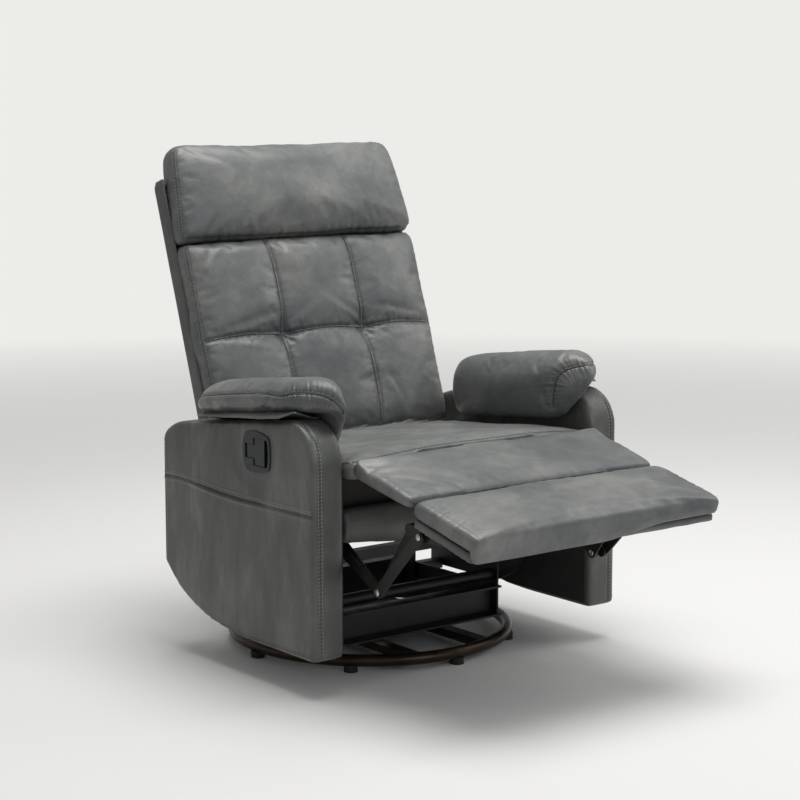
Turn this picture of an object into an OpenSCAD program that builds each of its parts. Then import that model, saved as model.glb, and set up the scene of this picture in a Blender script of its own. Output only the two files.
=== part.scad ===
// Swivel glider recliner: a leather-covered chair with a folding leg rest, a reclining back and
// a latch handle, hung on glide links over a turntable and a round tube base.
// Origin in the middle of the footprint at floor level, +Z up, the chair faces -Y and +X is the
// sitter's left.
// It is drawn with the leg rest out and the back partly leaned.

/* [Arms] */
// Clear width between the inner faces of the two arms
arms_gap = 627; // [615:1:650]
// Thickness of one padded arm
arm_t = 73.5; // [62:0.5:90]
// Front face of the arms, distance in front of the swivel axis
arm_front = 333; // [325:1:345]
// Rear edge of the arms, distance behind the swivel axis
arm_back = 191; // [186:1:210]
// Height of the arms' underside above the floor
arm_bottom_z = 73; // [60:1:80]
// Height of the arm's top near its front
arm_front_z = 525; // [518:1:532]
// Height of the arm's top near its rear
arm_back_z = 481; // [474:1:488]
// Radius of the arm's upper front corner
arm_corner_r = 75; // [50:1:90]
// Length of the rocker-shaped curve under the rear of the arm
rocker_len = 331; // [280:1:360]
// Rise of the rocker-shaped curve
rocker_rise = 107; // [80:1:130]
// Length of the rounding at the arm's upper rear corner
arm_round_len = 107; // [70:1:120]
// Drop of the rounding at the arm's upper rear corner
arm_round_drop = 51; // [35:1:70]
// Thickness of the cloth-covered inner board of each arm
lining_t = 3; // [2:0.5:4]

/* [Seat] */
// Height of the seat's stitched front edge above the floor
seat_front_z = 457; // [450:1:464]
// Height of the seat's rear edge above the floor
seat_rear_z = 417; // [410:1:420]
// Front face of the seat cushion, distance in front of the swivel axis
seat_front = 349.5; // [340:0.5:352]
// Rear face of the seat cushion, distance behind the swivel axis
seat_rear = 97; // [85:1:104]
// Thickness of the seat cushion at its front edge
seat_front_t = 42; // [36:1:48]
// Thickness of the seat cushion at its rear edge
seat_rear_t = 27; // [20:1:34]
// Extra height of the seat's crown along its middle
seat_crown = 9; // [4:1:14]
// Thickness of the wooden seat box rails
seat_rail_t = 22; // [16:1:26]
// Height of the underside of the wooden seat box above the floor
seat_rail_z = 345; // [340:1:350]
// Wire thickness of the zigzag springs
spring_wire = 3.2; // [2:0.1:4]
// Height of the padded panel under the seat's front edge
front_panel_h = 66; // [50:1:72]
// Thickness of the padded panel under the seat's front edge
front_panel_t = 39; // [28:1:44]

/* [Leg rest] */
// Length of the middle panel between the seat and the fold
mid_len = 175.7; // [165:0.1:180]
// Slope of the middle panel below the level, degrees
mid_slope = 11.8; // [8:0.1:15]
// Thickness of the middle panel at the seat
mid_rear_t = 34; // [28:1:38]
// Thickness of the middle panel at the fold
mid_front_t = 27; // [22:1:32]
// Length of the leg rest pad in front of the fold
leg_len = 188; // [175:1:195]
// Slope of the leg rest below the level, degrees
leg_slope = 13.5; // [10:0.1:17]
// Thickness of the leg rest pad
leg_pad_t = 38; // [32:1:42]
// Thickness of the leg rest board
leg_board_t = 18; // [12:1:20]
// Side clearance between the leg rest and the arms' inner faces
leg_side_gap = 4.5; // [4:0.5:12]

/* [Back] */
// Lean of the back from upright, degrees
back_lean = 18.5; // [15:0.1:22]
// Back hinge, distance behind the swivel axis
hinge_back = 118; // [114:1:124]
// Back hinge, height above the floor
hinge_z = 400; // [396:1:404]
// Height of the top of the headrest above the back hinge, along the back
back_len = 655; // [620:1:690]
// Height of the crease under the headrest, along the back
crease_len = 443; // [420:1:470]
// Height of the cross seam in the back cushion, along the back
row_seam_len = 232; // [210:1:250]
// Distance of each upright seam from the middle of the back cushion
column_seam_x = 104; // [90:1:120]
// Half width of the back cushion at its widest
back_half_w = 303; // [296:1:305]
// Half width of the headrest at its top
head_half_w = 289; // [280:1:300]
// Depth of the back cushion in front of the hinge line, at its edges
back_front = 22; // [16:1:28]
// Depth of the back cushion's rear face behind the hinge line
back_rear = 22; // [18:1:26]
// Swell of the tufted fields between the seams
tuft_swell = 17; // [8:1:22]
// Crown of the back cushion across its width
back_crown = 13; // [6:1:18]
// Swell of the headrest in front of the back cushion
head_swell = 36; // [20:1:44]
// Thickness of the rear panel of the back
shell_t = 34; // [28:1:40]
// Height of the top of the rear panel, along the back
shell_len = 588; // [560:1:620]

/* [Arm pillows] */
// Overhang of the pillow past the arm's inner face
pillow_inner = 55; // [40:1:60]
// Overhang of the pillow past the arm's outer face
pillow_outer = 6; // [2:1:12]
// Height of the pillow's crown above the arm
pillow_h = 78; // [65:1:90]
// Front tip of the pillow, distance in front of the swivel axis
pillow_front = 338; // [334:1:350]
// Rear end of the pillow, distance behind the swivel axis
pillow_back = 80; // [70:1:84]
// Thickness of the leather flap under each pillow
flap_t = 3; // [2:0.5:5]
// Overhang of the flap past the arm's outer face
flap_out = 18; // [10:1:26]

/* [Latch handle] */
// Middle of the latch cup, distance in front of the swivel axis
latch_front = 152; // [145:1:160]
// Middle of the latch cup, height above the floor
latch_z = 453; // [448:1:456]
// Length of the latch cup's rim
cup_w = 90; // [84:1:96]
// Height of the latch cup's rim
cup_h = 80; // [76:1:86]
// Depth of the latch cup in the arm
cup_depth = 24; // [20:1:28]
// Length of the handle's grip plate
paddle_w = 33; // [26:1:36]
// Height of the handle's grip plate
paddle_h = 52; // [44:1:56]
// Height of the handle's stem
stem_h = 26; // [18:1:32]
// Length of the handle's stem
stem_len = 24; // [16:1:28]
// Finger gap in front of the grip plate
finger_gap = 15; // [12:1:18]
// Diameter of the handle's hinge pin
handle_pin_d = 5; // [3:0.5:6]
// Diameter of the sheathed release cable
cable_d = 5; // [4:0.5:7]

/* [Mechanism] */
// Inner face of the mechanism's side plates, distance from the middle of the chair
plate_x = 277; // [275:1:279]
// Thickness of the side plates
plate_t = 3; // [2:0.5:3.5]
// Thickness of the cranks and rods
link_t = 4; // [3:0.5:4.5]
// Side gap between neighbouring links
link_gap = 1; // [0.6:0.1:1.4]
// Width of the cranks and rods
link_w = 22; // [18:1:24]
// Diameter of the rivets the links turn on
rivet_d = 10; // [8:0.5:12]
// Radial clearance of a turning rivet
pin_clearance = 0.05; // [0.02:0.01:0.1]
// Outer diameter of the drive tube
drive_tube_d = 22; // [18:1:26]

/* [Glide] */
// Half distance between the front and rear glide links
glide_half = 122; // [115:1:130]
// Height of the upper glide pivots above the floor
glide_top_z = 165; // [160:1:172]
// Length of a glide link between its pivots
glide_link_len = 85; // [78:1:92]
// Inner face of the turntable's side brackets, distance from the middle
bracket_x = 200; // [190:1:206]
// Thickness of brackets and glide rails
bracket_t = 4; // [3:0.5:4]
// Diameter of the glide pivots
glide_pin_d = 12; // [10:1:14]
// Height of the glide beams
beam_h = 64; // [55:1:72]
// Width of the glide beams
beam_w = 40; // [30:1:46]
// Diameter of the tie tube between the front brackets
tie_tube_d = 25; // [20:1:28]

/* [Base] */
// Outer diameter of the base ring
ring_d = 598; // [560:1:620]
// Diameter of the base ring's tube
ring_tube_d = 25; // [22:1:30]
// Height of the rubber feet below the ring
foot_h = 10; // [8:1:14]
// Diameter of the rubber feet
foot_d = 28; // [24:1:34]
// Distance of each cross rail from the middle of the ring
rail_x = 90; // [80:1:100]
// Width of the cross rails
rail_w = 28; // [24:1:32]
// Height of the cross rails
rail_h = 17; // [14:1:20]
// Width of the swivel plates
swivel_plate_w = 240; // [220:1:250]
// Thickness of the swivel plates
swivel_plate_t = 4; // [3:0.5:6]
// Diameter of the king bolt
king_bolt_d = 16; // [12:1:20]
// Diameter of the balls in the swivel bearing
ball_d = 8; // [6:0.5:9]

/* [Hidden] */
$fn = 64;

// One overrun serves all cuts, and one gap keeps soft pieces clear of their neighbours
overrun = 1;
soft_gap = 0.4;
seat_gap = 0.1;

leather = "#6a6c6a";
dark_leather = "#5a5c5a";
black_steel = "#1d1b19";
bronze_steel = "#2a231c";
bright_steel = "#b9b6af";
dark_cloth = "#232425";
wood = "#b58f62";
rubber = "#161616";
plastic = "#2b2d30";

// Arms
arm_in = arms_gap / 2;
arm_out = arm_in + arm_t;
lining_in = arm_in - lining_t;
rocker_shares = [[0, 0], [0.3, 0.065], [0.54, 0.187], [0.78, 0.458], [0.955, 0.87], [1, 1]];
curve_steps = 4;
arc_steps = 10;

// Base and turntable
ring_tube_r = ring_tube_d / 2;
ring_r = ring_d / 2 - ring_tube_r;
ring_z = foot_h + ring_tube_r;
rail_top_z = ring_z + rail_h / 2;
lower_plate_z = rail_top_z;
bearing_z = lower_plate_z + swivel_plate_t;
bearing_gap = 0.3;
bearing_r = swivel_plate_w * 0.4;
ball_count = 18;
top_plate_z = bearing_z + ball_d + 2 * bearing_gap;
beam_z = top_plate_z + swivel_plate_t;
beam_y = glide_half + beam_w * 1.2;
ear_w = beam_w * 1.7;
ear_shift = ear_w * 0.22;
foot_count = 8;
tie_y = glide_half + tie_tube_d * 1.1;
tie_z = glide_top_z - tie_tube_d * 1.4;
glide_link_x = bracket_x + bracket_t + link_gap;
glide_rail_x = glide_link_x + link_t + link_gap;
glide_low_z = glide_top_z - glide_link_len;
open_pivot_clearance = 0.5;

// Layers of the mechanism, from the side plate outwards and inwards
plate_out = plate_x + plate_t;
inner_crank_x = plate_x - link_gap - link_t;
inner_rod_x = inner_crank_x - link_gap - link_t;
outer_crank_x = plate_out + link_gap;
outer_rod_x = outer_crank_x + link_t + link_gap;
side_rail_x = outer_rod_x + link_t + 4 * link_gap;
seat_box_front = arm_front - front_panel_t - soft_gap;
side_rail_top = seat_rear_z - seat_rear_t - spring_wire - soft_gap - link_t;

// Leg rest frames: the seat edge where the middle panel turns, and the fold
leg_edge_gap = 0.5;
leg_edge_rise = 5;
seat_edge = [-seat_front - leg_edge_gap, seat_front_z - seat_front_t + leg_edge_rise];
fold = seat_edge + mid_len * [-cos(mid_slope), -sin(mid_slope)];
leg_half_w = arm_in - leg_side_gap;
function at_leg(y, z) = fold
    + [y * cos(leg_slope) - z * sin(leg_slope), y * sin(leg_slope) + z * cos(leg_slope)];

// Pivots of the leg rest mechanism, as [y, z] shares of the middle panel's length, tuned
// together so that both linkages close over the whole travel
inner_pivot_share = [0.52766, -0.72743];
inner_crank_share = [-0.74974, -0.48298];
inner_rod_share = [-0.54229, 0.77729];
outer_pivot_share = [0.68492, -0.69129];
outer_crank_share = [-0.98566, -0.50091];
outer_rod_share = [-0.69989, 0.72396];
inner_pivot = seat_edge + mid_len * inner_pivot_share;
inner_joint = inner_pivot + mid_len * inner_crank_share;
inner_end = inner_joint + mid_len * inner_rod_share;
outer_pivot = seat_edge + mid_len * outer_pivot_share;
outer_joint = outer_pivot + mid_len * outer_crank_share;
outer_end = outer_joint + mid_len * outer_rod_share;

// Smooth curve through hand-chosen points
function curve_at(a, b, c, d, t) =
    0.5 * (2 * b + (c - a) * t + (2 * a - 5 * b + 4 * c - d) * t * t
    + (3 * b - a - 3 * c + d) * t * t * t);
function open_curve(p, n) = concat(
    [for (i = [0 : len(p) - 2]) for (k = [0 : n - 1])
        curve_at(p[max(i - 1, 0)], p[i], p[i + 1], p[min(i + 2, len(p) - 1)], k / n)],
    [p[len(p) - 1]]);
function closed_curve(p, n) =
    [for (i = [0 : len(p) - 1]) for (k = [0 : n - 1])
        curve_at(p[(i + len(p) - 1) % len(p)], p[i], p[(i + 1) % len(p)],
            p[(i + 2) % len(p)], k / n)];
function ellipse_arc(centre, rx, ry, from, to, n) =
    [for (i = [0 : n]) let (a = from + (to - from) * i / n)
        centre + [rx * cos(a), ry * sin(a)]];
function mean_point(p, i = 0) = i == len(p) - 1 ? p[i] : p[i] + mean_point(p, i + 1);
function table_at(table, column, t, i = 0) =
    i >= len(table) - 2 || t <= table[i + 1][0]
        ? let (f = (t - table[i][0]) / (table[i + 1][0] - table[i][0]))
            table[i][column] * (1 - f) + table[i + 1][column] * f
        : table_at(table, column, t, i + 1);

// Closed skin through a row of rings, each ring turning left as seen from the last ring
module loft(rings) {
    rows = len(rings);
    count = len(rings[0]);
    corners = [for (ring = rings) each ring];
    ends = [mean_point(rings[0]) / count, mean_point(rings[rows - 1]) / count];
    walls = [for (i = [0 : rows - 2]) for (j = [0 : count - 1])
        let (a = i * count + j, b = i * count + (j + 1) % count)
            each [[a, a + count, b + count], [a, b + count, b]]];
    first = [for (j = [0 : count - 1]) [rows * count, j, (j + 1) % count]];
    last = [for (j = [0 : count - 1])
        [rows * count + 1, (rows - 1) * count + (j + 1) % count, (rows - 1) * count + j]];
    polyhedron(points = concat(corners, ends), faces = concat(walls, first, last));
}

// Bent sheet through a row of rings, each one there along the lower side and back on the upper
module bent_sheet(rings) {
    rows = len(rings);
    count = len(rings[0]);
    steps = count / 2 - 1;
    far = (rows - 1) * count;
    walls = [for (i = [0 : rows - 2]) for (j = [0 : count - 1])
        let (a = i * count + j, b = i * count + (j + 1) % count)
            each [[a, a + count, b + count], [a, b + count, b]]];
    first = [for (j = [0 : steps - 1])
        each [[j, j + 1, count - 2 - j], [j, count - 2 - j, count - 1 - j]]];
    last = [for (f = first) [far + f[2], far + f[1], far + f[0]]];
    polyhedron(points = [for (ring = rings) each ring], faces = concat(walls, first, last));
}

// Outline of a cushion's cross section as shares: [across, thickness], both from -1 to 1,
// with a flat strip along each side
flat_share = 0.955;
function slab_ring(front_steps, rear_steps) = concat(
    [[1, 0.62], [0.985, 0.9]],
    [for (i = [0 : front_steps]) [flat_share * (1 - 2 * i / front_steps), 1]],
    [[-0.985, 0.9], [-1, 0.62], [-1, -0.62], [-0.985, -0.9]],
    [for (i = [0 : rear_steps]) [flat_share * (2 * i / rear_steps - 1), -1]],
    [[0.985, -0.9], [1, -0.62]]);
function turned_back(p) = [for (i = [len(p) - 1 : -1 : 0]) p[i]];

// A shape drawn in [y, z], standing on edge from x to x + thickness
module side_plate(x, thickness) {
    translate([x, 0, 0]) rotate([90, 0, 90]) linear_extrude(thickness) children();
}
module side_pin(x, length, place, d) {
    translate([x, place[0], place[1]]) rotate([0, 90, 0]) cylinder(h = length, d = d);
}
module link_outline(a, b, w) {
    along = b - a;
    translate(a) rotate(atan2(along[1], along[0])) {
        translate([0, -w / 2]) square([norm(along), w]);
        circle(d = w);
        translate([norm(along), 0]) circle(d = w);
    }
}
module both_sides() {
    children();
    mirror([1, 0, 0]) children();
}
module on_right() {
    mirror([1, 0, 0]) children();
}

// Base
module ring_solid(grow) {
    translate([0, 0, ring_z]) rotate_extrude()
        translate([ring_r, 0]) circle(r = ring_tube_r + grow);
}
module base_ring() {
    color(bronze_steel) ring_solid(0);
}
module base_rails() {
    length = 2 * sqrt(ring_r * ring_r - rail_x * rail_x);
    color(bronze_steel) difference() {
        both_sides() translate([rail_x - rail_w / 2, -length / 2, rail_top_z - rail_h])
            cube([rail_w, length, rail_h]);
        ring_solid(seat_gap);
    }
}
module base_feet() {
    color(rubber) difference() {
        for (i = [0 : foot_count - 1]) rotate([0, 0, i * 360 / foot_count])
            translate([ring_r, 0, 0]) cylinder(h = foot_h + ring_tube_r / 3, d = foot_d);
        ring_solid(seat_gap);
    }
}
module swivel_plate(z, hole_d) {
    corner = swivel_plate_w / 8;
    side = swivel_plate_w - 2 * corner;
    translate([0, 0, z]) difference() {
        linear_extrude(swivel_plate_t) {
            square([side, swivel_plate_w], center = true);
            square([swivel_plate_w, side], center = true);
            for (sx = [-1, 1], sy = [-1, 1]) translate([sx, sy] * side / 2) circle(r = corner);
        }
        translate([0, 0, -overrun])
            cylinder(h = swivel_plate_t + 2 * overrun, d = hole_d);
    }
}
module swivel_lower_plate() {
    color(black_steel) swivel_plate(lower_plate_z, king_bolt_d + 2 * pin_clearance);
}
module swivel_bearing() {
    cage_h = ball_d / 2;
    cage_w = ball_d * 2;
    color(bright_steel) translate([0, 0, bearing_z + bearing_gap]) {
        translate([0, 0, (ball_d - cage_h) / 2]) rotate_extrude()
            translate([bearing_r - cage_w / 2, 0]) square([cage_w, cage_h]);
        for (i = [0 : ball_count - 1]) rotate([0, 0, i * 360 / ball_count])
            translate([bearing_r, 0, ball_d / 2]) sphere(d = ball_d);
    }
}
module king_bolt() {
    head_h = king_bolt_d * 0.5;
    head_d = king_bolt_d * 1.7;
    top = beam_z + head_h / 2;
    color(bright_steel) {
        translate([0, 0, lower_plate_z - head_h]) cylinder(h = head_h, d = head_d);
        translate([0, 0, lower_plate_z - seat_gap])
            cylinder(h = top - lower_plate_z, d = king_bolt_d);
        translate([0, 0, beam_z + bearing_gap]) cylinder(h = head_h, d = head_d, $fn = 6);
    }
}

// Turntable
module swivel_top_plate() {
    color(black_steel) swivel_plate(top_plate_z, king_bolt_d + 2 * pin_clearance);
}
module glide_beam() {
    wall = bracket_t;
    length = 2 * bracket_x;
    translate([-bracket_x, 0, beam_z]) difference() {
        translate([0, -beam_w / 2, 0]) cube([length, beam_w, beam_h]);
        translate([-overrun, -beam_w / 2 - overrun, wall])
            cube([length + 2 * overrun, beam_w - wall + overrun, beam_h - 2 * wall]);
    }
}
// A beam with the tongue that rests on the swivel plate
module glide_beam_with_tongue() {
    translate([0, -beam_y, 0]) glide_beam();
    translate([-swivel_plate_w / 4, -beam_y, beam_z])
        cube([swivel_plate_w / 2, beam_y - swivel_plate_w * 0.3, bracket_t]);
}
module glide_front_beam() {
    color(black_steel) glide_beam_with_tongue();
}
module glide_rear_beam() {
    color(black_steel) mirror([0, 1, 0]) glide_beam_with_tongue();
}
module ear_outline() {
    round_r = glide_pin_d;
    translate([glide_half - ear_shift, beam_z]) square([ear_w, glide_top_z - beam_z]);
    translate([glide_half, glide_top_z]) circle(r = round_r);
    translate([glide_half, glide_top_z]) square([ear_w - ear_shift - round_r, round_r]);
    translate([glide_half + ear_w - ear_shift - round_r, glide_top_z]) circle(r = round_r);
    translate([glide_half - ear_shift, glide_top_z - round_r]) square(round_r);
}
module glide_brackets() {
    bar_h = beam_h * 0.4;
    color(black_steel) both_sides() {
        side_plate(bracket_x, bracket_t) {
            for (way = [0, 1]) mirror([way, 0]) ear_outline();
            translate([-glide_half, beam_z]) square([2 * glide_half, bar_h]);
        }
        for (way = [-1, 1])
            side_pin(bracket_x + bracket_t, link_t + 1.5 * link_gap,
                [way * glide_half, glide_top_z], glide_pin_d);
    }
}
module glide_tie_tube() {
    wall = tie_tube_d / 10;
    color(black_steel) difference() {
        side_pin(-bracket_x, 2 * bracket_x, [-tie_y, tie_z], tie_tube_d);
        side_pin(-bracket_x - overrun, 2 * (bracket_x + overrun), [-tie_y, tie_z],
            tie_tube_d - 2 * wall);
    }
}
module glide_links(way, low_clearance) {
    width = glide_pin_d * 2;
    color(black_steel) both_sides() difference() {
        side_plate(glide_link_x, link_t)
            link_outline([way * glide_half, glide_top_z], [way * glide_half, glide_low_z], width);
        side_pin(glide_link_x - overrun, link_t + 2 * overrun,
            [way * glide_half, glide_top_z], glide_pin_d + 2 * pin_clearance);
        side_pin(glide_link_x - overrun, link_t + 2 * overrun,
            [way * glide_half, glide_low_z], glide_pin_d + 2 * low_clearance);
    }
}
module front_glide_links() {
    glide_links(-1, pin_clearance);
}
module rear_glide_links() {
    glide_links(1, open_pivot_clearance);
}

// Chair frame
module glide_rails() {
    rail_out = glide_rail_x + bracket_t;
    box = beam_h * 0.32;
    low = glide_low_z - glide_pin_d;
    high = glide_low_z + box + glide_pin_d / 2;
    half = glide_half + 1.5 * glide_pin_d;
    color(black_steel) both_sides() {
        side_plate(glide_rail_x, bracket_t) translate([-half, low]) square([2 * half, high - low]);
        for (way = [-1, 1])
            side_pin(glide_link_x - link_gap / 2, link_t + 1.5 * link_gap,
                [way * glide_half, glide_low_z], glide_pin_d);
        for (y = [-outrigger_front, outrigger_back])
            translate([rail_out, y - box / 2, high - box])
                cube([plate_x - rail_out, box, box]);
    }
}
outrigger_front = glide_half * 0.5;
outrigger_back = glide_half * 0.9;
plate_top = side_rail_top - seat_rail_t / 2;
plate_front = link_w - inner_pivot[0];
plate_corner = -seat_box_front + seat_rail_t + link_gap;
plate_back = hinge_back + seat_rail_t;
plate_low = glide_low_z + glide_pin_d;
module mech_plate() {
    step = link_w;
    color(black_steel) difference() {
        side_plate(plate_x, plate_t) polygon([
            [plate_corner, plate_top], [plate_corner, seat_rail_z - link_gap],
            [-plate_front, seat_rail_z - link_gap], [-plate_front, inner_pivot[1] - step / 2],
            [outer_pivot[0] + step / 4, inner_pivot[1] - 2 * step],
            [outer_pivot[0] + step, inner_pivot[1] - 4 * step],
            [-glide_half - step, glide_top_z - 2 * step],
            [-outrigger_front - step, plate_low], [plate_back, plate_low],
            [plate_back, plate_top]]);
        for (p = [[-1.5 * step, glide_top_z + 3.6 * step], [glide_half / 2, glide_top_z + step]])
            side_pin(plate_x - overrun, plate_t + 2 * overrun, p, 2.4 * step);
        side_pin(plate_x - overrun, plate_t + 2 * overrun, inner_pivot,
            rivet_d + 2 * pin_clearance);
        side_pin(plate_x - overrun, plate_t + 2 * overrun, outer_pivot,
            rivet_d + 2 * pin_clearance);
    }
}
module mech_plate_left() {
    mech_plate();
}
module mech_plate_right() {
    on_right() {
        mech_plate();
        // Stud that the catch turns on
        color(black_steel) side_pin(plate_out - plate_t / 2,
            plate_t / 2 + 1.5 * link_gap + link_t, pawl_pivot, bolt_d);
    }
}
bolt_d = rivet_d * 0.8;
bolt_ys = [plate_corner + link_w * 0.6, -glide_half, -glide_half / 4, glide_half * 0.4];
bolt_z = (seat_rail_z + plate_top) / 2;
module mech_bolts() {
    head_h = bolt_d / 2;
    color(bright_steel) both_sides() for (y = bolt_ys) {
        side_pin(plate_x - head_h, head_h, [y, bolt_z], bolt_d * 1.8);
        side_pin(plate_out, side_rail_x - plate_out, [y, bolt_z], bolt_d * 1.8);
    }
}
module cross_tube(y, z, size) {
    wall = size / 10;
    translate([-plate_x, y, z]) difference() {
        cube([2 * plate_x, size, size]);
        translate([-overrun, wall, wall])
            cube([2 * (plate_x + overrun), size - 2 * wall, size - 2 * wall]);
    }
}
module front_cross_rail() {
    color(black_steel) cross_tube(-glide_half - link_w / 2, glide_top_z + 1.6 * link_w, link_w);
}
module rear_cross_rail() {
    color(black_steel) cross_tube(glide_half / 2, seat_rail_z, link_w);
}

// Seat box
seat_slope = atan2(seat_front_z - seat_front_t - seat_rear_z + seat_rear_t,
    seat_front + seat_rear);
seat_box_back = hinge_back;
function seat_under_z(y) = seat_rear_z - seat_rear_t + (seat_rear - y) * tan(seat_slope);
function spring_under_z(y) = seat_under_z(y) - spring_wire - soft_gap;
module seat_side_rail() {
    color(wood) translate([side_rail_x, -seat_box_front, seat_rail_z])
        cube([lining_in - side_rail_x, seat_box_front + seat_box_back,
            side_rail_top - seat_rail_z]);
}
module seat_side_rail_left() {
    seat_side_rail();
}
module seat_side_rail_right() {
    on_right() seat_side_rail();
}
module seat_cross_board(y) {
    color(wood) side_plate(-side_rail_x, 2 * side_rail_x) polygon([
        [y, seat_rail_z], [y + seat_rail_t, seat_rail_z],
        [y + seat_rail_t, spring_under_z(y + seat_rail_t)], [y, spring_under_z(y)]]);
}
module seat_front_rail() {
    seat_cross_board(-seat_box_front);
}
rear_rail_y = seat_rear - 1.3 * seat_rail_t;
module seat_rear_rail() {
    color(wood) side_plate(-plate_x + 2 * link_w, 2 * (plate_x - 2 * link_w)) polygon([
        [rear_rail_y, seat_rail_z + link_w], [rear_rail_y + seat_rail_t, seat_rail_z + link_w],
        [rear_rail_y + seat_rail_t, spring_under_z(rear_rail_y + seat_rail_t)],
        [rear_rail_y, spring_under_z(rear_rail_y)]]);
}
// Zigzag wire laid flat along +y, with square bends
module zigzag(length, swing, wire) {
    waves = floor(length / (swing * 1.6));
    pitch = length / waves;
    middle = concat([[0, 0]],
        [for (i = [0 : waves - 1]) for (q = [[0.125, 1], [0.375, 1], [0.625, -1], [0.875, -1]])
            [q[1] * swing / 2, (i + q[0]) * pitch]],
        [[0, length]]);
    linear_extrude(wire) polygon(concat(
        [for (p = middle) p + [wire / 2, 0]],
        [for (i = [len(middle) - 1 : -1 : 0]) middle[i] - [wire / 2, 0]]));
}
seat_spring_count = 5;
module seat_springs() {
    reach = (seat_box_front + rear_rail_y + seat_rail_t / 2) / cos(seat_slope);
    spacing = 2 * plate_x / (seat_spring_count + 1);
    color(bright_steel) for (i = [0 : seat_spring_count - 1])
        translate([(i - (seat_spring_count - 1) / 2) * spacing,
            -seat_box_front + seat_rail_t / 4,
            spring_under_z(-seat_box_front + seat_rail_t / 4) + seat_gap])
            rotate([-seat_slope, 0, 0]) zigzag(reach - seat_rail_t / 4, spacing / 2, spring_wire);
}

// Stations along the seat: [share from rear to front, width share, thickness share, dip share]
seat_stations = [[0, 0.955, 0.66, 0], [0.012, 0.985, 0.86, 0], [0.05, 1, 1, 0], [0.25, 0.994, 1, 0],
    [0.5, 0.99, 1, 0], [0.75, 0.994, 1, 0], [0.9, 0.998, 1, 0], [0.95, 1, 1, 0.2],
    [0.97, 1, 0.97, 1], [0.985, 0.998, 0.97, 0.2], [1, 0.985, 0.92, 0]];
seam_dip = 3;
seat_side_gap = 2.4;
module seat_cushion() {
    half_w = arm_in - seat_side_gap;
    outline = slab_ring(16, 8);
    color(leather) loft([for (row = seat_stations)
        let (y = seat_rear - row[0] * (seat_front + seat_rear),
            low = seat_under_z(y),
            high = seat_rear_z + row[0] * (seat_front_z - seat_rear_z),
            mid = (low + high) / 2, half = (high - low) / 2 * row[2])
            [for (q = outline)
                [q[0] * half_w * row[1], y,
                    mid + half * q[1] + (q[1] > 0 ? 1 : 0)
                    * (seat_crown * (1 - q[0] * q[0]) * row[2] - seam_dip * row[3])
                    - (q[1] > 0 ? 1 : 0) * seat_crown * 0.6 * pow(abs(q[0]), 4)]]]);
}

// Padded panel under the seat's front edge, with a soft sagging lower edge
module front_rail_panel() {
    half_w = lining_in - 1.5 * lining_t;
    top = seat_rail_z + seat_rail_t / 2;
    sag = front_panel_h / 6;
    outline = [[0.04, 0], [0.08, 0.3], [0.03, 0.66], [0, 0.9], [0.2, 1], [0.55, 1], [0.86, 0.85], [1, 0.5],
        [0.9, 0.16], [0.6, 0.0], [0.25, -0.03]];
    stations = [[-1, 0.86], [-0.985, 0.97], [-0.9, 1], [-0.6, 1], [-0.2, 1], [0.2, 1], [0.6, 1],
        [0.9, 1], [0.985, 0.97], [1, 0.86]];
    ring = closed_curve(outline, 2);
    color(dark_leather) loft([for (row = stations)
        let (height = front_panel_h + sag * (1 - pow(row[0], 6)) * (abs(row[0]) < 0.8 ? 1 : 0),
            middle = top - height / 2)
            [for (q = ring)
                [row[0] * half_w,
                    -seat_box_front - soft_gap - front_panel_t * (0.5 + (q[0] - 0.5) * row[1]),
                    middle + height * (q[1] - 0.5) * row[1]]]]);
}

// Arms
function arm_top_z(y) = arm_back_z + (arm_front_z - arm_back_z)
    * (arm_back - arm_round_len - y) / (arm_back - arm_round_len + arm_front - arm_corner_r);
module arm_outline() {
    rocker = open_curve([for (s = rocker_shares)
        [arm_back - rocker_len + s[0] * rocker_len, arm_bottom_z + s[1] * rocker_rise]],
        curve_steps);
    polygon(concat([[-arm_front, arm_bottom_z]], rocker,
        ellipse_arc([arm_back - arm_round_len, arm_back_z - arm_round_drop],
            arm_round_len, arm_round_drop, 0, 90, arc_steps),
        ellipse_arc([-arm_front + arm_corner_r, arm_front_z - arm_corner_r],
            arm_corner_r, arm_corner_r, 90, 180, arc_steps)));
}
module arm_body() {
    side_plate(arm_in, arm_t) arm_outline();
}
module arm_left() {
    color(leather) arm_body();
}

// Latch cup, with its rim on the arm's outer face
cup_shares = [[-0.5, 0.28], [-0.36, 0.44], [0.02, 0.5], [0.34, 0.47], [0.46, 0.3], [0.5, 0],
    [0.46, -0.3], [0.34, -0.47], [0.02, -0.5], [-0.36, -0.44], [-0.5, -0.28]];
rim_w = 4;
rim_t = 2.5;
cup_wall = 2;
module cup_outline(shrink) {
    polygon(closed_curve([for (s = cup_shares)
        [s[0] * (cup_w - 2 * shrink), s[1] * (cup_h - 2 * shrink)]], curve_steps));
}
module cup_place() {
    translate([arm_out, -latch_front, latch_z]) rotate([90, 0, 90]) children();
}
cable_bend = 20;
cable_drop_x = arm_out - cup_depth - cable_bend;
cable_exit = [-latch_front + 2 * cable_bend, 262];
arm_wall = 4.5;
module arm_right() {
    channel_w = 4 * cable_d;
    low = cable_exit[1] - channel_w / 2;
    color(leather) on_right() difference() {
        arm_body();
        cup_place() translate([0, 0, -cup_depth - seat_gap])
            linear_extrude(cup_depth + overrun) cup_outline(rim_w - seat_gap);
        translate([arm_in + arm_wall, -latch_front - channel_w / 2, low])
            cube([arm_t - cup_depth - arm_wall + overrun,
                cable_exit[0] + latch_front + channel_w, latch_z + channel_w / 2 - low]);
        side_pin(arm_in - overrun, arm_wall + 2 * overrun, cable_exit, 2 * cable_d);
    }
}
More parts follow.
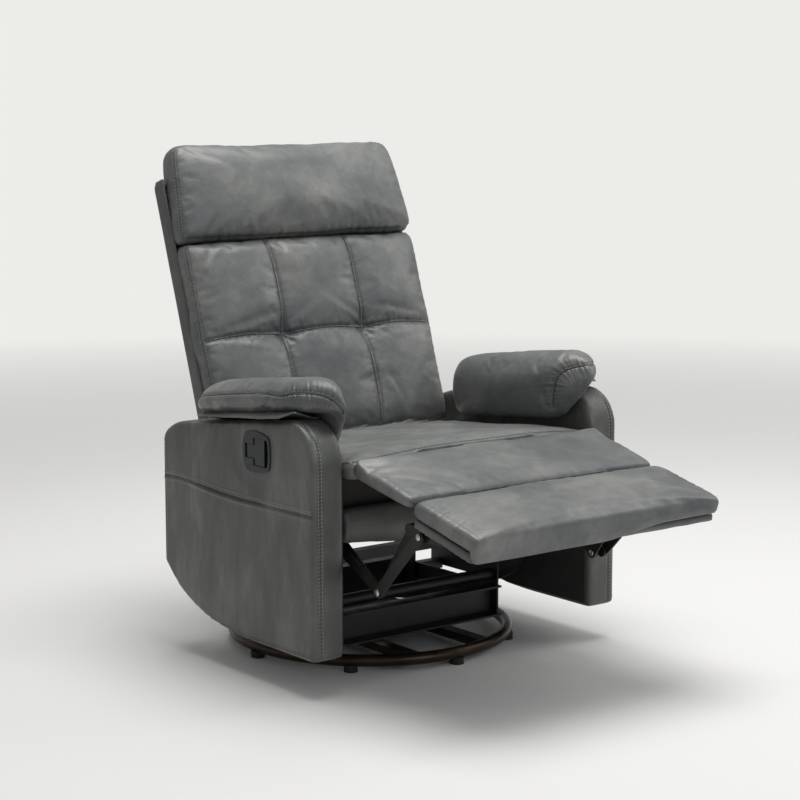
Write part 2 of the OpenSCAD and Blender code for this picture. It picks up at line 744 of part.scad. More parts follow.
module arm_lining() {
    front = arm_front - 3 * lining_t;
    low = arm_bottom_z + 3.5 * lining_t;
    high = side_rail_top;
    back = arm_back - rocker_len * 0.12;
    side_plate(lining_in, lining_t) polygon([[-front, low], [-front, high], [back, high],
        [back, low + rocker_rise], [arm_back - rocker_len * 0.45, low + rocker_rise * 0.3],
        [arm_back - rocker_len * 0.8, low]]);
}
module arm_lining_left() {
    color(dark_cloth) arm_lining();
}
module arm_lining_right() {
    color(dark_cloth) on_right() difference() {
        arm_lining();
        side_pin(lining_in - overrun, lining_t + 2 * overrun, cable_exit, 2 * cable_d);
    }
}

// Arm pillows: cross section as [across, height] shares about the arm's upper inner edge
pillow_shares = [[-0.03, 0.03], [0.25, 0.09], [0.9, 0.24], [1, 0.4], [0.95, 0.66], [0.6, 0.92],
    [0.15, 1], [-0.25, 0.94], [-0.5, 0.76], [-0.72, 0.42], [-0.76, -0.14], [-0.66, -0.6],
    [-0.4, -0.86], [-0.14, -0.7], [-0.045, -0.28]];
// Stations: [share from rear to front, outer width, height, inner width, inner drop]
pillow_stations = [[0, 0.42, 0.4, 0.3, 0.3], [0.012, 0.68, 0.66, 0.5, 0.5],
    [0.036, 0.86, 0.84, 0.7, 0.72], [0.077, 0.97, 0.94, 0.88, 0.86], [0.144, 1, 0.99, 1, 0.91],
    [0.263, 1, 1, 1, 0.93], [0.407, 1, 1, 1, 0.96], [0.55, 1, 1, 1, 1], [0.67, 1, 1, 1, 1],
    [0.754, 0.98, 1, 0.97, 1], [0.813, 0.9, 0.99, 0.86, 0.97], [0.861, 0.78, 0.96, 0.7, 0.84],
    [0.902, 0.6, 0.89, 0.5, 0.56], [0.938, 0.43, 0.77, 0.34, 0.36], [0.969, 0.26, 0.58, 0.2, 0.2],
    [0.99, 0.13, 0.34, 0.1, 0.1], [1, 0.05, 0.14, 0.04, 0.03]];
pillow_lift = flap_t + soft_gap;
pillow_middle = 0.3;
module arm_pillow() {
    ring = closed_curve(pillow_shares, 2);
    across = arm_t + pillow_outer;
    color(leather) loft([for (row = pillow_stations)
        let (y = pillow_back - row[0] * (pillow_back + pillow_front),
            edge = arm_top_z(max(y, -arm_front + arm_corner_r)) + pillow_lift)
            [for (q = ring)
                [arm_in - soft_gap + q[0] * (q[0] > 0 ? across * row[1]
                    : pillow_inner / 0.76 * row[3]), y,
                    edge + pillow_h * (pillow_middle * (1 - row[2])
                        + q[1] * (q[1] < 0 ? row[4] : row[2]))]]]);
}
module arm_pillow_left() {
    arm_pillow();
}
module arm_pillow_right() {
    on_right() arm_pillow();
}
// Leather flap, from the arm's top up along the pillow's underside and out over the arm's edge
// Stations: [share from the pillow's rear to its front, height of the hem, width]
flap_stations = [[0.067, 0.8, 0.3], [0.5, 0.45, 0.75], [0.833, 0.2, 1]];
module pillow_flap() {
    rise = pillow_h * 0.2;
    crest = arm_out - arm_t * 0.12;
    color(dark_leather) bent_sheet([for (row = flap_stations)
        let (y = pillow_back - row[0] * (pillow_back + pillow_front),
            z = arm_top_z(y) + seat_gap,
            out = arm_out + flap_out * row[2], back = y + (row[2] == 1 ? flap_out : 0),
            low = rise * row[1])
            [[arm_in + arm_t * 0.1, y, z], [arm_in + arm_t * 0.3, y, z], [crest, y, z + rise],
                [out, back, z + low], [out, back, z + low + flap_t],
                [crest, y, z + rise + flap_t], [arm_in + arm_t * 0.3, y, z + flap_t],
                [arm_in + arm_t * 0.1, y, z + flap_t]]]);
}
module pillow_flap_left() {
    pillow_flap();
}
module pillow_flap_right() {
    on_right() pillow_flap();
}

// Latch handle: grip plate and stem in a T, turning about an upright pin at the stem's rear end
handle_t = 8;
hinge_r = handle_pin_d;
handle_y = -latch_front + cup_w * 0.34;
handle_x = arm_out + rim_t - hinge_r - 1.5;
part_gap = 0.8;
module handle_pin() {
    height = stem_h + 4 * cup_wall;
    color(bright_steel) on_right() translate([handle_x, handle_y, latch_z - height / 2])
        cylinder(h = height, d = handle_pin_d);
}
module release_handle() {
    face = handle_x + hinge_r;
    color(plastic) on_right() difference() {
        union() {
            translate([handle_x, handle_y, latch_z - stem_h / 2])
                cylinder(h = stem_h, r = hinge_r);
            translate([face - handle_t, handle_y - stem_len, latch_z - stem_h / 2])
                cube([handle_t, stem_len, stem_h]);
            translate([face - handle_t, handle_y - stem_len - paddle_w, latch_z - paddle_h / 2])
                cube([handle_t, paddle_w, paddle_h]);
        }
        translate([handle_x, handle_y, latch_z - stem_h / 2 - overrun])
            cylinder(h = stem_h + 2 * overrun, d = handle_pin_d + 2 * pin_clearance);
    }
}
// Room for the handle, with the finger gap in front of the grip plate
module cup_pocket() {
    stem_y = handle_y + latch_front - stem_len;
    intersection() {
        cup_outline(rim_w + cup_wall);
        union() {
            translate([stem_y, -stem_h / 2 - part_gap])
                square([stem_len + hinge_r + part_gap, stem_h + 2 * part_gap]);
            translate([stem_y - paddle_w - finger_gap, -paddle_h / 2 - part_gap])
                square([paddle_w + finger_gap + 3 * part_gap, paddle_h + 2 * part_gap]);
        }
    }
}
module release_cup() {
    pin_h = stem_h + 4 * cup_wall;
    color(plastic) on_right() difference() {
        cup_place() {
            linear_extrude(rim_t) cup_outline(0);
            translate([0, 0, -cup_depth]) linear_extrude(cup_depth + rim_t / 2) cup_outline(rim_w);
        }
        cup_place() translate([0, 0, cup_wall - cup_depth])
            linear_extrude(cup_depth + rim_t) cup_pocket();
        translate([handle_x, handle_y, latch_z - pin_h / 2])
            cylinder(h = pin_h, d = handle_pin_d + 2 * pin_clearance);
    }
}

// Release cable, inside the arm from the cup to the catch, held all the way
cable_points = [[-362.8, -152, 453], [-354, -152, 452], [-344, -150, 446], [-338, -146, 432],
    [-335, -140, 405], [-334, -134, 370], [-334, -128, 330], [-333, -122, 298], [-329, -116, 276],
    [-320, -113, 264], [-310, -112, 260], [-301, -111, 254], [-292, -108, 240], [-288, -106, 202]];
cable_sides = 8;
cable_steps = 2;
function unit(v) = v / norm(v);
function cable_ring(p, along, d) =
    let (side = unit(cross(along, [0, 1, 0.2])), up = cross(side, along))
        [for (k = [0 : cable_sides - 1]) let (a = -360 * k / cable_sides)
            p + d / 2 * (cos(a) * side + sin(a) * up)];
module release_cable() {
    path = open_curve(cable_points, cable_steps);
    last = len(path) - 1;
    color(rubber) loft([for (i = [0 : last])
        cable_ring(path[i], unit(path[min(i + 1, last)] - path[max(i - 1, 0)]), cable_d)]);
}

// Catch that holds the outer crank of the folded leg rest, pulled by the cable
pawl_pivot = [-glide_half - 0.8 * link_w, glide_top_z + link_w];
pawl_tail = pawl_pivot + [1.5 * link_w, 0.75 * link_w];
pawl_nose = pawl_pivot - 1.6 * [link_w, link_w * 0.3];
module release_pawl() {
    width = link_w * 0.6;
    color(bright_steel) on_right() {
        difference() {
            side_plate(outer_crank_x, link_t) {
                link_outline(pawl_pivot, pawl_tail, width);
                link_outline(pawl_pivot, pawl_nose, width);
            }
            side_pin(outer_crank_x - overrun, link_t + 2 * overrun, pawl_pivot,
                bolt_d + 2 * pin_clearance);
        }
    }
}

// Back hinge
hinge_at = [hinge_back, hinge_z];
hinge_d = rivet_d * 1.2;
hinge_plate_x = side_rail_x - plate_t - seat_gap;
post_x = hinge_plate_x - 2 * link_gap - link_t;
module back_hinge_plates() {
    round_r = rivet_d * 1.3;
    color(black_steel) both_sides() {
        side_plate(hinge_plate_x, plate_t) {
            translate(hinge_at) circle(r = round_r);
            translate([hinge_back - round_r, seat_rail_z])
                square([2 * round_r, hinge_z - seat_rail_z]);
        }
        side_pin(post_x - link_gap, link_t + 3 * link_gap, hinge_at, hinge_d);
    }
}

// Back, drawn upright about its hinge line and then leaned; y runs to the rear, z up the back
module lean_back() {
    translate([0, hinge_back, hinge_z]) rotate([-back_lean, 0, 0]) children();
}
shell_front = back_rear + seat_gap;
pocket_depth = shell_t * 0.55;
shell_low = 10;
back_low = 14;
shell_wall = 4;
shell_half_w = back_half_w - 2;
module back_shell() {
    edge = shell_t * 0.4;
    pocket_w = post_x + link_t + shell_wall;
    color(dark_leather) lean_back() difference() {
        translate([0, shell_front, 0]) {
            translate([-shell_half_w, 0, shell_low])
                cube([2 * shell_half_w, shell_t - edge, shell_len - shell_low]);
            translate([-shell_half_w + edge, 0, shell_low])
                cube([2 * (shell_half_w - edge), shell_t, shell_len - shell_low - edge]);
            both_sides() translate([shell_half_w - edge, shell_t - edge, shell_low])
                cylinder(h = shell_len - shell_low - edge, r = edge);
            translate([-shell_half_w + edge, shell_t - edge, shell_len - edge])
                rotate([0, 90, 0]) cylinder(h = 2 * (shell_half_w - edge), r = edge);
            both_sides() translate([shell_half_w - edge, shell_t - edge, shell_len - edge])
                sphere(r = edge);
        }
        translate([-pocket_w, shell_front - overrun, shell_low - overrun])
            cube([2 * pocket_w, pocket_depth + overrun, shell_len - shell_low - 3 * shell_wall]);
    }
}
bar_t = pocket_depth - shell_wall;
bar_w = seat_rail_t * 1.5;
bar_y = shell_front + pocket_depth - bar_t;
post_len = 250;
module back_posts() {
    color(black_steel) lean_back() both_sides() difference() {
        side_plate(post_x, link_t) {
            circle(r = hinge_d);
            polygon([[0, -hinge_d], [bar_y + bar_t, 0], [bar_y + bar_t, post_len],
                [bar_y, post_len], [bar_y, hinge_d], [-hinge_d * 0.7, hinge_d * 0.7]]);
        }
        side_pin(post_x - overrun, link_t + 2 * overrun, [0, 0], hinge_d + 2 * pin_clearance);
    }
}
upright_x = post_x - seat_gap;
module back_uprights() {
    low = back_low + hinge_d * 2;
    color(wood) lean_back() both_sides() translate([upright_x - bar_w, bar_y, low])
        cube([bar_w, bar_t, shell_len - low - 4 * shell_wall]);
}
crossbar_low = back_low + hinge_d * 2;
crossbar_high = shell_len - bar_w - 4 * shell_wall;
module back_crossbars() {
    inside = upright_x - bar_w;
    color(wood) lean_back() for (z = [crossbar_low, row_seam_len + bar_w, crossbar_high])
        translate([-inside, bar_y, z]) cube([2 * inside, bar_t, bar_w]);
}
back_spring_count = 4;
module back_springs() {
    spacing = 2 * (upright_x - bar_w) / (back_spring_count + 1);
    low = crossbar_low + bar_w;
    high = row_seam_len + bar_w;
    color(bright_steel) lean_back() for (i = [0 : back_spring_count - 1])
        translate([(i - (back_spring_count - 1) / 2) * spacing, bar_y + spring_wire, low])
            rotate([90, 0, 0]) zigzag(high - low, spacing / 2, spring_wire);
}
// The swell of the fields falls a little along the seams and deeply where two seams cross
seam_reach = 38;
tuft_reach = 64;
function dip(distance, reach) = pow(max(0, 1 - pow(distance / reach, 2)), 2);
function tuft_at(x, s) =
    let (aside = abs(abs(x) - column_seam_x), along = abs(s - row_seam_len),
        middle = (crease_len + back_low) / 2, share = (s - middle) / (crease_len - middle))
        tuft_swell * (1 - 0.3 * max(dip(aside, seam_reach), dip(along, seam_reach))
            - 0.6 * dip(norm([aside, along]), tuft_reach)) * (1 - 0.65 * pow(abs(share), 5));
// Stations up the back cushion: [share, width share, thickness share]
back_stations = [[0, 0.975, 0.7], [0.02, 0.99, 0.9], [0.09, 0.998, 1], [0.19, 0.99, 1],
    [0.3, 0.985, 1], [0.4, 0.99, 1], [0.47, 0.997, 1], [0.508, 1, 1], [0.55, 0.997, 1],
    [0.64, 0.99, 1], [0.76, 0.988, 1], [0.87, 0.99, 1], [0.95, 0.993, 0.97], [0.985, 0.985, 0.8],
    [1, 0.965, 0.55]];
module back_cushion() {
    outline = turned_back(slab_ring(28, 8));
    top = crease_len - soft_gap;
    color(leather) lean_back() loft([for (row = back_stations)
        let (s = back_low + row[0] * (top - back_low),
            half = (back_front + back_rear) / 2 * row[2], mid = (back_front - back_rear) / 2)
            [for (q = outline)
                let (x = q[0] * back_half_w * row[1], swell = back_crown * (1 - q[0] * q[0])
                    + tuft_at(x, s) * (1 - 0.75 * pow(abs(q[0]), 8)))
                    [x, -(mid + half * q[1] + (q[1] > 0 ? q[1] * row[2] * swell : 0)), s]]]);
}
// Stations up the headrest: [share, width share, swell share, thickness share]
head_stations = [[0, 0.965, 0.2, 0.55], [0.02, 0.985, 0.55, 0.8], [0.08, 0.995, 0.9, 1],
    [0.2, 0.995, 1, 1], [0.35, 0.99, 0.98, 1], [0.55, 0.988, 0.85, 1], [0.75, 0.985, 0.62, 1],
    [0.88, 0.975, 0.42, 0.96], [0.95, 0.955, 0.28, 0.84], [0.985, 0.925, 0.15, 0.6],
    [1, 0.885, 0, 0.3]];
module headrest() {
    outline = turned_back(slab_ring(16, 8));
    color(leather) lean_back() loft([for (row = head_stations)
        let (s = crease_len + row[0] * (back_len - crease_len),
            half_w = back_half_w + (head_half_w - back_half_w) * row[0],
            half = (back_front + back_rear) / 2 * row[3], mid = (back_front - back_rear) / 2)
            [for (q = outline)
                [q[0] * half_w * row[1],
                    -(mid + half * q[1] + (q[1] > 0 ? q[1] * head_swell * row[2]
                        * (1 - 0.75 * pow(abs(q[0]), 3)) : 0)), s]]]);
}

// Leg rest mechanism
module link_bar(x, a, b, hole_a, hole_b) {
    difference() {
        side_plate(x, link_t) link_outline(a, b, link_w);
        side_pin(x - overrun, link_t + 2 * overrun, a, hole_a);
        side_pin(x - overrun, link_t + 2 * overrun, b, hole_b);
    }
}
turning_d = rivet_d + 2 * pin_clearance;
loose_d = rivet_d + 2 * open_pivot_clearance;
rivet_h = link_gap;
module inner_crank() {
    reach = 2 * link_t + link_gap + rivet_h;
    color(black_steel) {
        side_plate(inner_crank_x, link_t) link_outline(inner_pivot, inner_joint, link_w);
        side_pin(inner_crank_x, link_t + link_gap + plate_t, inner_pivot, rivet_d);
        side_pin(inner_crank_x + link_t - reach, reach, inner_joint, rivet_d);
    }
}
module inner_crank_left() {
    inner_crank();
}
module inner_crank_right() {
    on_right() inner_crank();
}
module drive_tube() {
    half = inner_crank_x;
    wall = drive_tube_d / 9;
    color(black_steel) difference() {
        side_pin(-half, 2 * half, inner_pivot, drive_tube_d);
        side_pin(-half - overrun, 2 * (half + overrun), inner_pivot, drive_tube_d - 2 * wall);
    }
}
module inner_rod() {
    color(black_steel) link_bar(inner_rod_x, inner_joint, inner_end, turning_d, loose_d);
}
module inner_rod_left() {
    inner_rod();
}
module inner_rod_right() {
    on_right() inner_rod();
}
module outer_crank() {
    color(black_steel) {
        side_plate(outer_crank_x, link_t) link_outline(outer_pivot, outer_joint, link_w);
        side_pin(plate_x, plate_t + link_gap + link_t, outer_pivot, rivet_d);
        side_pin(outer_crank_x, 2 * link_t + link_gap + rivet_h, outer_joint, rivet_d);
    }
}
module outer_crank_left() {
    outer_crank();
}
module outer_crank_right() {
    on_right() outer_crank();
}
module outer_rod() {
    color(black_steel) link_bar(outer_rod_x, outer_joint, outer_end, turning_d, loose_d);
}
module outer_rod_left() {
    outer_rod();
}
module outer_rod_right() {
    on_right() outer_rod();
}

// Middle panel, drawn level about the seat edge and then sloped; y runs to the rear
mid_stations = [[0.004, 0.985, 0.93], [0.03, 0.998, 0.99], [0.2, 1, 1.03], [0.5, 1, 1.05],
    [0.8, 1.002, 1], [0.93, 0.997, 0.9], [0.98, 0.985, 0.72], [0.9995, 0.97, 0.5]];
mid_crown = 4;
mid_lift = 1;
module mid_panel() {
    outline = slab_ring(16, 8);
    color(leather) translate([0, seat_edge[0], seat_edge[1]]) rotate([mid_slope, 0, 0])
        loft([for (row = mid_stations)
            let (t = mid_rear_t + (mid_front_t - mid_rear_t) * row[0])
                [for (q = outline)
                    [q[0] * leg_half_w * row[1], -row[0] * mid_len,
                        mid_lift + t / 2 + t / 2 * q[1] * row[2]
                        + (q[1] > 0 ? mid_crown * (1 - q[0] * q[0]) * row[2] : 0)]]]);
}
module at_fold() {
    translate([0, fold[0], fold[1]]) rotate([leg_slope, 0, 0]) children();
}
board_drop = 9;
leg_stations = [[0.001, 0.97, 0.5], [0.03, 0.985, 0.76], [0.09, 0.997, 0.95], [0.25, 1, 1.02],
    [0.5, 0.999, 1.03], [0.72, 0.997, 1.03], [0.86, 0.996, 1.01], [0.93, 0.994, 0.98],
    [0.972, 0.99, 0.91], [0.992, 0.983, 0.78], [1, 0.974, 0.58]];
leg_crown = 5;
module leg_pad() {
    outline = slab_ring(16, 8);
    bottom = -board_drop + soft_gap;
    color(leather) at_fold() loft([for (row = leg_stations)
        [for (q = outline)
            [q[0] * leg_half_w * row[1], -row[0] * leg_len,
                bottom + leg_pad_t / 2 + leg_pad_t / 2 * q[1] * (q[1] < 0 ? 1 : row[2])
                * (q[1] < 0 ? min(1, row[2] + 0.2) : 1)
                + (q[1] > 0 ? leg_crown * (1 - q[0] * q[0]) * row[2] : 0)]]]);
}
board_in = 8;
module leg_board() {
    half = leg_half_w - board_in;
    nose = leg_board_t / 2;
    color(dark_leather) at_fold() translate([0, 0, -board_drop - leg_board_t]) {
        translate([-half, -leg_len + board_in + nose, 0])
            cube([2 * half, leg_len - 2 * board_in - nose, leg_board_t]);
        translate([-half, -leg_len + board_in + nose, nose]) rotate([0, 90, 0])
            cylinder(h = 2 * half, r = nose);
    }
}
module leg_brackets() {
    board_low = -board_drop - leg_board_t;
    flange_w = link_w;
    color(black_steel) both_sides() {
        side_plate(plate_x, plate_t) {
            link_outline(inner_end, outer_end, link_w);
            // Web up to the flange under the board
            polygon([inner_end + [0, link_w / 3], at_leg(-board_in, board_low - plate_t / 2),
                at_leg(-leg_len * 0.59, board_low - plate_t / 2), outer_end - [0, link_w / 2]]);
        }
        side_pin(inner_rod_x - rivet_h, plate_out - inner_rod_x + rivet_h, inner_end, rivet_d);
        side_pin(plate_x, outer_rod_x + link_t + rivet_h - plate_x, outer_end, rivet_d);
        at_fold() translate([plate_x - flange_w, -leg_len * 0.6, board_low - plate_t])
            cube([flange_w + plate_t / 2, leg_len * 0.55, plate_t]);
    }
}

// The origin is in the middle of the footprint, so the swivel axis stands behind it
frame_shift = 174;
module placed() {
    translate([0, frame_shift, 0]) children();
}

placed() base_ring();
placed() base_rails();
placed() base_feet();
placed() swivel_lower_plate();
placed() swivel_bearing();
placed() king_bolt();
placed() swivel_top_plate();
placed() glide_front_beam();
placed() glide_rear_beam();
placed() glide_brackets();
placed() glide_tie_tube();
placed() front_glide_links();
placed() rear_glide_links();
placed() glide_rails();
placed() mech_plate_left();
placed() mech_plate_right();
placed() mech_bolts();
placed() front_cross_rail();
placed() rear_cross_rail();
placed() seat_side_rail_left();
placed() seat_side_rail_right();
placed() seat_front_rail();
placed() seat_rear_rail();
placed() seat_springs();
placed() seat_cushion();
placed() front_rail_panel();
placed() arm_left();
placed() arm_right();
placed() arm_lining_left();
placed() arm_lining_right();
placed() arm_pillow_left();
placed() arm_pillow_right();
placed() pillow_flap_left();
placed() pillow_flap_right();
placed() release_cup();
placed() release_handle();
placed() handle_pin();
placed() release_cable();
placed() release_pawl();
placed() back_hinge_plates();
placed() back_posts();
placed() back_uprights();
placed() back_crossbars();
placed() back_springs();
placed() back_cushion();
placed() headrest();
placed() back_shell();
placed() inner_crank_left();
placed() inner_crank_right();
placed() drive_tube();
placed() inner_rod_left();
placed() inner_rod_right();
placed() outer_crank_left();
placed() outer_crank_right();
placed() outer_rod_left();
placed() outer_rod_right();
placed() mid_panel();
placed() leg_board();
placed() leg_pad();
placed() leg_brackets();
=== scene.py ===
# Swivel glider recliner: dresses the CAD frame with stuffed leather, stitching and painted steel.
import math
import random

import bmesh
import bpy
import numpy as np
from mathutils import Matrix, Vector
from mathutils.bvhtree import BVHTree


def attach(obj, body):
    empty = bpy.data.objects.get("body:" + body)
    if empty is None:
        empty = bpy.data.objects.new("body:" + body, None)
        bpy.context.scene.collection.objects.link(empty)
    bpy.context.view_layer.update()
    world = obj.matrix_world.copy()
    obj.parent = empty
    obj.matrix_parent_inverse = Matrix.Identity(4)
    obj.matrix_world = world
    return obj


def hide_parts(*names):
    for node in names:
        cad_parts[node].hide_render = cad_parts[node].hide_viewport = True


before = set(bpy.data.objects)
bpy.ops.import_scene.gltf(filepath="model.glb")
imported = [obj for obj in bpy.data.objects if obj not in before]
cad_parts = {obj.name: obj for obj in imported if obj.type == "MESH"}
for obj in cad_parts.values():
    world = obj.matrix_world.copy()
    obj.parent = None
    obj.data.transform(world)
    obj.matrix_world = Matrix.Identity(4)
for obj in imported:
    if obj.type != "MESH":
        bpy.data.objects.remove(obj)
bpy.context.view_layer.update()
scene = bpy.context.scene
swivelShift = 174.0  # mm from the origin back to the swivel axis


def at(x, y, z):
    # millimetres measured from the swivel axis, to metres in the shared frame
    return Vector((x, y + swivelShift, z)) / 1000


# Camera, at the photograph's angle
cameraLook = {"lens": 95.83, "sensor": 36, "place": (-2.6411, -3.3030, 1.1594),
    "turn": (81.403, 0, -38.038)}
cameraData = bpy.data.cameras.new("productCamera")
cameraData.lens = cameraLook["lens"]
cameraData.sensor_width = cameraLook["sensor"]
cameraData.dof.use_dof = False
camera = bpy.data.objects.new("productCamera", cameraData)
camera.location = cameraLook["place"]
camera.rotation_euler = [math.radians(angle) for angle in cameraLook["turn"]]
scene.collection.objects.link(camera)
scene.camera = camera
print("camera placed")


# Materials, whose sizes in millimetres are those of the real clouds, grain and marks

def linearColor(hexCode):
    parts = [int(hexCode[i:i + 2], 16) / 255 for i in (1, 3, 5)]
    return tuple(c / 12.92 if c <= 0.04045 else ((c + 0.055) / 1.055) ** 2.4 for c in parts) + (1,)


def addNode(tree, kind, settings=None, links=None):
    node = tree.nodes.new(kind)
    for key, value in (settings or {}).items():
        if key == "stops":
            ramp = node.color_ramp
            while len(ramp.elements) < len(value):
                ramp.elements.new(0.5)
            for element, (place, color) in zip(ramp.elements, value):
                element.position = place
                element.color = linearColor(color)
        elif isinstance(key, int) or key in node.inputs:
            node.inputs[key].default_value = value
        else:
            setattr(node, key, value)
    for key, source in (links or {}).items():
        if source is not None:
            tree.links.new(source, node.inputs[key])
    return node


def newMaterial(name):
    # an empty material, its tree, and each point's place on the object
    material = bpy.data.materials.new(name)
    material.use_nodes = True
    tree = material.node_tree
    tree.nodes.clear()
    return material, tree, addNode(tree, "ShaderNodeTexCoord").outputs["Object"]


def stretched(tree, place, scale):
    return addNode(tree, "ShaderNodeMapping", {"Scale": scale}, {"Vector": place}).outputs[0]


def noise(tree, place, sizeMm, **settings):
    return addNode(tree, "ShaderNodeTexNoise", {"Scale": 1000 / sizeMm, **settings},
        {"Vector": place}).outputs["Fac"]


def bands(tree, place, sizeMm, **settings):
    # the scale of a wave counts radians
    return addNode(tree, "ShaderNodeTexWave", {"Scale": 1000 / sizeMm / 6.283, **settings},
        {"Vector": place}).outputs["Fac"]


def tones(tree, factor, *stops):
    return addNode(tree, "ShaderNodeValToRGB", {"stops": stops}, {"Fac": factor}).outputs["Color"]


def bumps(tree, height, strength, distance, under=None):
    return addNode(tree, "ShaderNodeBump", {"Strength": strength, "Distance": distance},
        {"Height": height, "Normal": under}).outputs[0]


def spread(tree, value, low, high):
    # turns the middle of a noise into a range of roughness
    return addNode(tree, "ShaderNodeMapRange", {"From Min": 0.3, "From Max": 0.7, "To Min": low,
        "To Max": high}, {"Value": value}).outputs[0]


def surface(tree, settings, color, bump=None, rough=None):
    # the surface itself, and the material's output
    shader = addNode(tree, "ShaderNodeBsdfPrincipled", settings,
        {"Base Color": color, "Roughness": rough, "Normal": bump})
    addNode(tree, "ShaderNodeOutputMaterial", links={"Surface": shader.outputs[0]})


# Pull-up leather, rolled and waxed: cloudy rubbed patches, a satin shine, and painted shade, a darker
# line down in every seam and crease. Its real grain is about 1 mm, drawn coarser so that it shows
leatherSkin = {"mottleShare": 0.36, "grainMm": 2.6, "grain": 0.22, "grainDepth": 0.0006, "linesMm": 16,
    "lineDepth": 0.0025,
    "gloss": {"IOR": 1.5, "Coat Roughness": 0.26, "Sheen Weight": 0.04, "Sheen Roughness": 0.5}}


def pullUpLeather(name, look):
    material, tree, place = newMaterial(name)
    drawn = stretched(tree, place, look["stretch"])
    clouds = noise(tree, drawn, look["cloudMm"], Detail=3.0, Roughness=0.5, Distortion=0.3)
    mottle = noise(tree, drawn, look["mottleMm"], Detail=6.0, Roughness=0.62, Distortion=0.4)
    both = addNode(tree, "ShaderNodeMix", {"data_type": "FLOAT", 0: leatherSkin["mottleShare"]},
        {2: clouds, 3: mottle}).outputs[0]
    tone = tones(tree, both, (0.36, look["dark"]), (0.5, look["base"]), (0.64, look["rubbed"]))
    # painted shade: a point attribute, set where seams, pleats, tufts and folds are pressed, mixes in the
    # near-black crease colour
    crease = addNode(tree, "ShaderNodeAttribute", {"attribute_name": "crease"}).outputs["Fac"]
    shade = addNode(tree, "ShaderNodeMix", {"data_type": "RGBA", "clamp_factor": True,
        7: linearColor(look["crease"])}, {0: crease, 6: tone}).outputs[2]
    grain = addNode(tree, "ShaderNodeTexVoronoi", {"Scale": 1000 / leatherSkin["grainMm"],
        "feature": "SMOOTH_F1"}, {"Vector": place}).outputs["Distance"]
    lines = noise(tree, drawn, leatherSkin["linesMm"], Detail=5.0, Roughness=0.62, Distortion=1.2)
    fine = bumps(tree, grain, leatherSkin["grain"], leatherSkin["grainDepth"])
    bump = bumps(tree, lines, look["bump"], leatherSkin["lineDepth"], fine)
    rough = spread(tree, both, look["roughness"][1], look["roughness"][0])
    surface(tree, {**leatherSkin["gloss"], "Coat Weight": look["wax"]}, shade, bump, rough)
    return material


# each look's crease colour is the near-black of the painted shade in its seams, pleats and folds
leatherLooks = {
    "cushions": {"base": "#5d5f5d", "dark": "#4c4e4f", "rubbed": "#73746f", "crease": "#1f2121",
        "cloudMm": 130, "mottleMm": 28, "stretch": (0.8, 1.0, 1.0), "bump": 0.24,
        "roughness": (0.40, 0.52), "wax": 0.14},
    # the arms' copy is darker than the cushions' leather: painted shade for arm faces that turn from the
    # key lamp
    "arms": {"base": "#484a45", "dark": "#3d3f3b", "rubbed": "#5a5c56", "crease": "#1e201e",
        "cloudMm": 90, "mottleMm": 26, "stretch": (1.0, 1.3, 0.45), "bump": 0.22,
        "roughness": (0.38, 0.50), "wax": 0.12},
    # the shaded parts' copy is darker still: painted shade for the flaps, leg board, front rail panel and
    # back shell
    "shadedParts": {"base": "#4c4f4c", "dark": "#424543", "rubbed": "#585b58", "crease": "#1b1c1c",
        "cloudMm": 110, "mottleMm": 26, "stretch": (0.8, 1.0, 1.0), "bump": 0.24,
        "roughness": (0.40, 0.54), "wax": 0.10},
}
cushionLeather = pullUpLeather("pullUpLeatherCushions", leatherLooks["cushions"])
shadedArmLeather = pullUpLeather("pullUpLeatherArmsShaded", leatherLooks["arms"])
shadedPanelLeather = pullUpLeather("pullUpLeatherPanelsShaded", leatherLooks["shadedParts"])

# Waxed polyester thread, twisted: a soft shine, light on the arms and dark on the seat
threadSkin = {"twistMm": 3.0, "roughness": 0.55}


def waxedThread(name, dark, light):
    material, tree, place = newMaterial(name)
    twist = addNode(tree, "ShaderNodeTexWave", {"Scale": 1000 / threadSkin["twistMm"], "Distortion": 1.0},
        {"Vector": place}).outputs["Fac"]
    surface(tree, {"Roughness": threadSkin["roughness"]}, tones(tree, twist, (0.2, dark), (0.8, light)))
    return material


paleThread = waxedThread("paleWaxedThread", "#868782", "#a2a39d")
midThread = waxedThread("greyWaxedThread", "#6e706c", "#878883")
darkThread = waxedThread("darkWaxedThread", "#262727", "#3a3b3b")


# Painted, plated and bare metal share one layout of nodes: tone clouds, fine orange peel or
# rolling marks in the bump, and small changes in roughness
def metalFinish(name, look):
    material, tree, place = newMaterial(name)
    clouds = noise(tree, place, look["cloudMm"], Detail=4.0, Roughness=0.55)
    tone = tones(tree, clouds, (0.35, look["dark"]), (0.65, look["light"]))
    bump = bumps(tree, noise(tree, place, look["peelMm"], Detail=2.0), look["peel"], 0.0004)
    surface(tree, {"Metallic": look["metallic"]}, tone, bump, spread(tree, clouds, *look["roughness"]))
    return material


# Dark bronze paint on bent tube: warm lines of light on a nearly black brown
bronzePaint = metalFinish("darkBronzePaint", {"dark": "#2a2119", "light": "#3d3126", "cloudMm": 40,
    "peelMm": 2.5, "peel": 0.10, "roughness": (0.26, 0.38), "metallic": 0.75})
# Black powder coat on pressed steel: a low shine and a very fine pebble
blackPowderCoat = metalFinish("blackPowderCoat", {"dark": "#141312", "light": "#211f1d", "cloudMm": 30,
    "peelMm": 1.8, "peel": 0.30, "roughness": (0.38, 0.55), "metallic": 0.15})
# Zinc plate on rivets, bolts and springs: bright, with faint yellow and grey clouds
zincPlate = metalFinish("zincPlatedSteel", {"dark": "#a39f94", "light": "#d2cec3", "cloudMm": 9,
    "peelMm": 1.2, "peel": 0.12, "roughness": (0.24, 0.36), "metallic": 1.0})


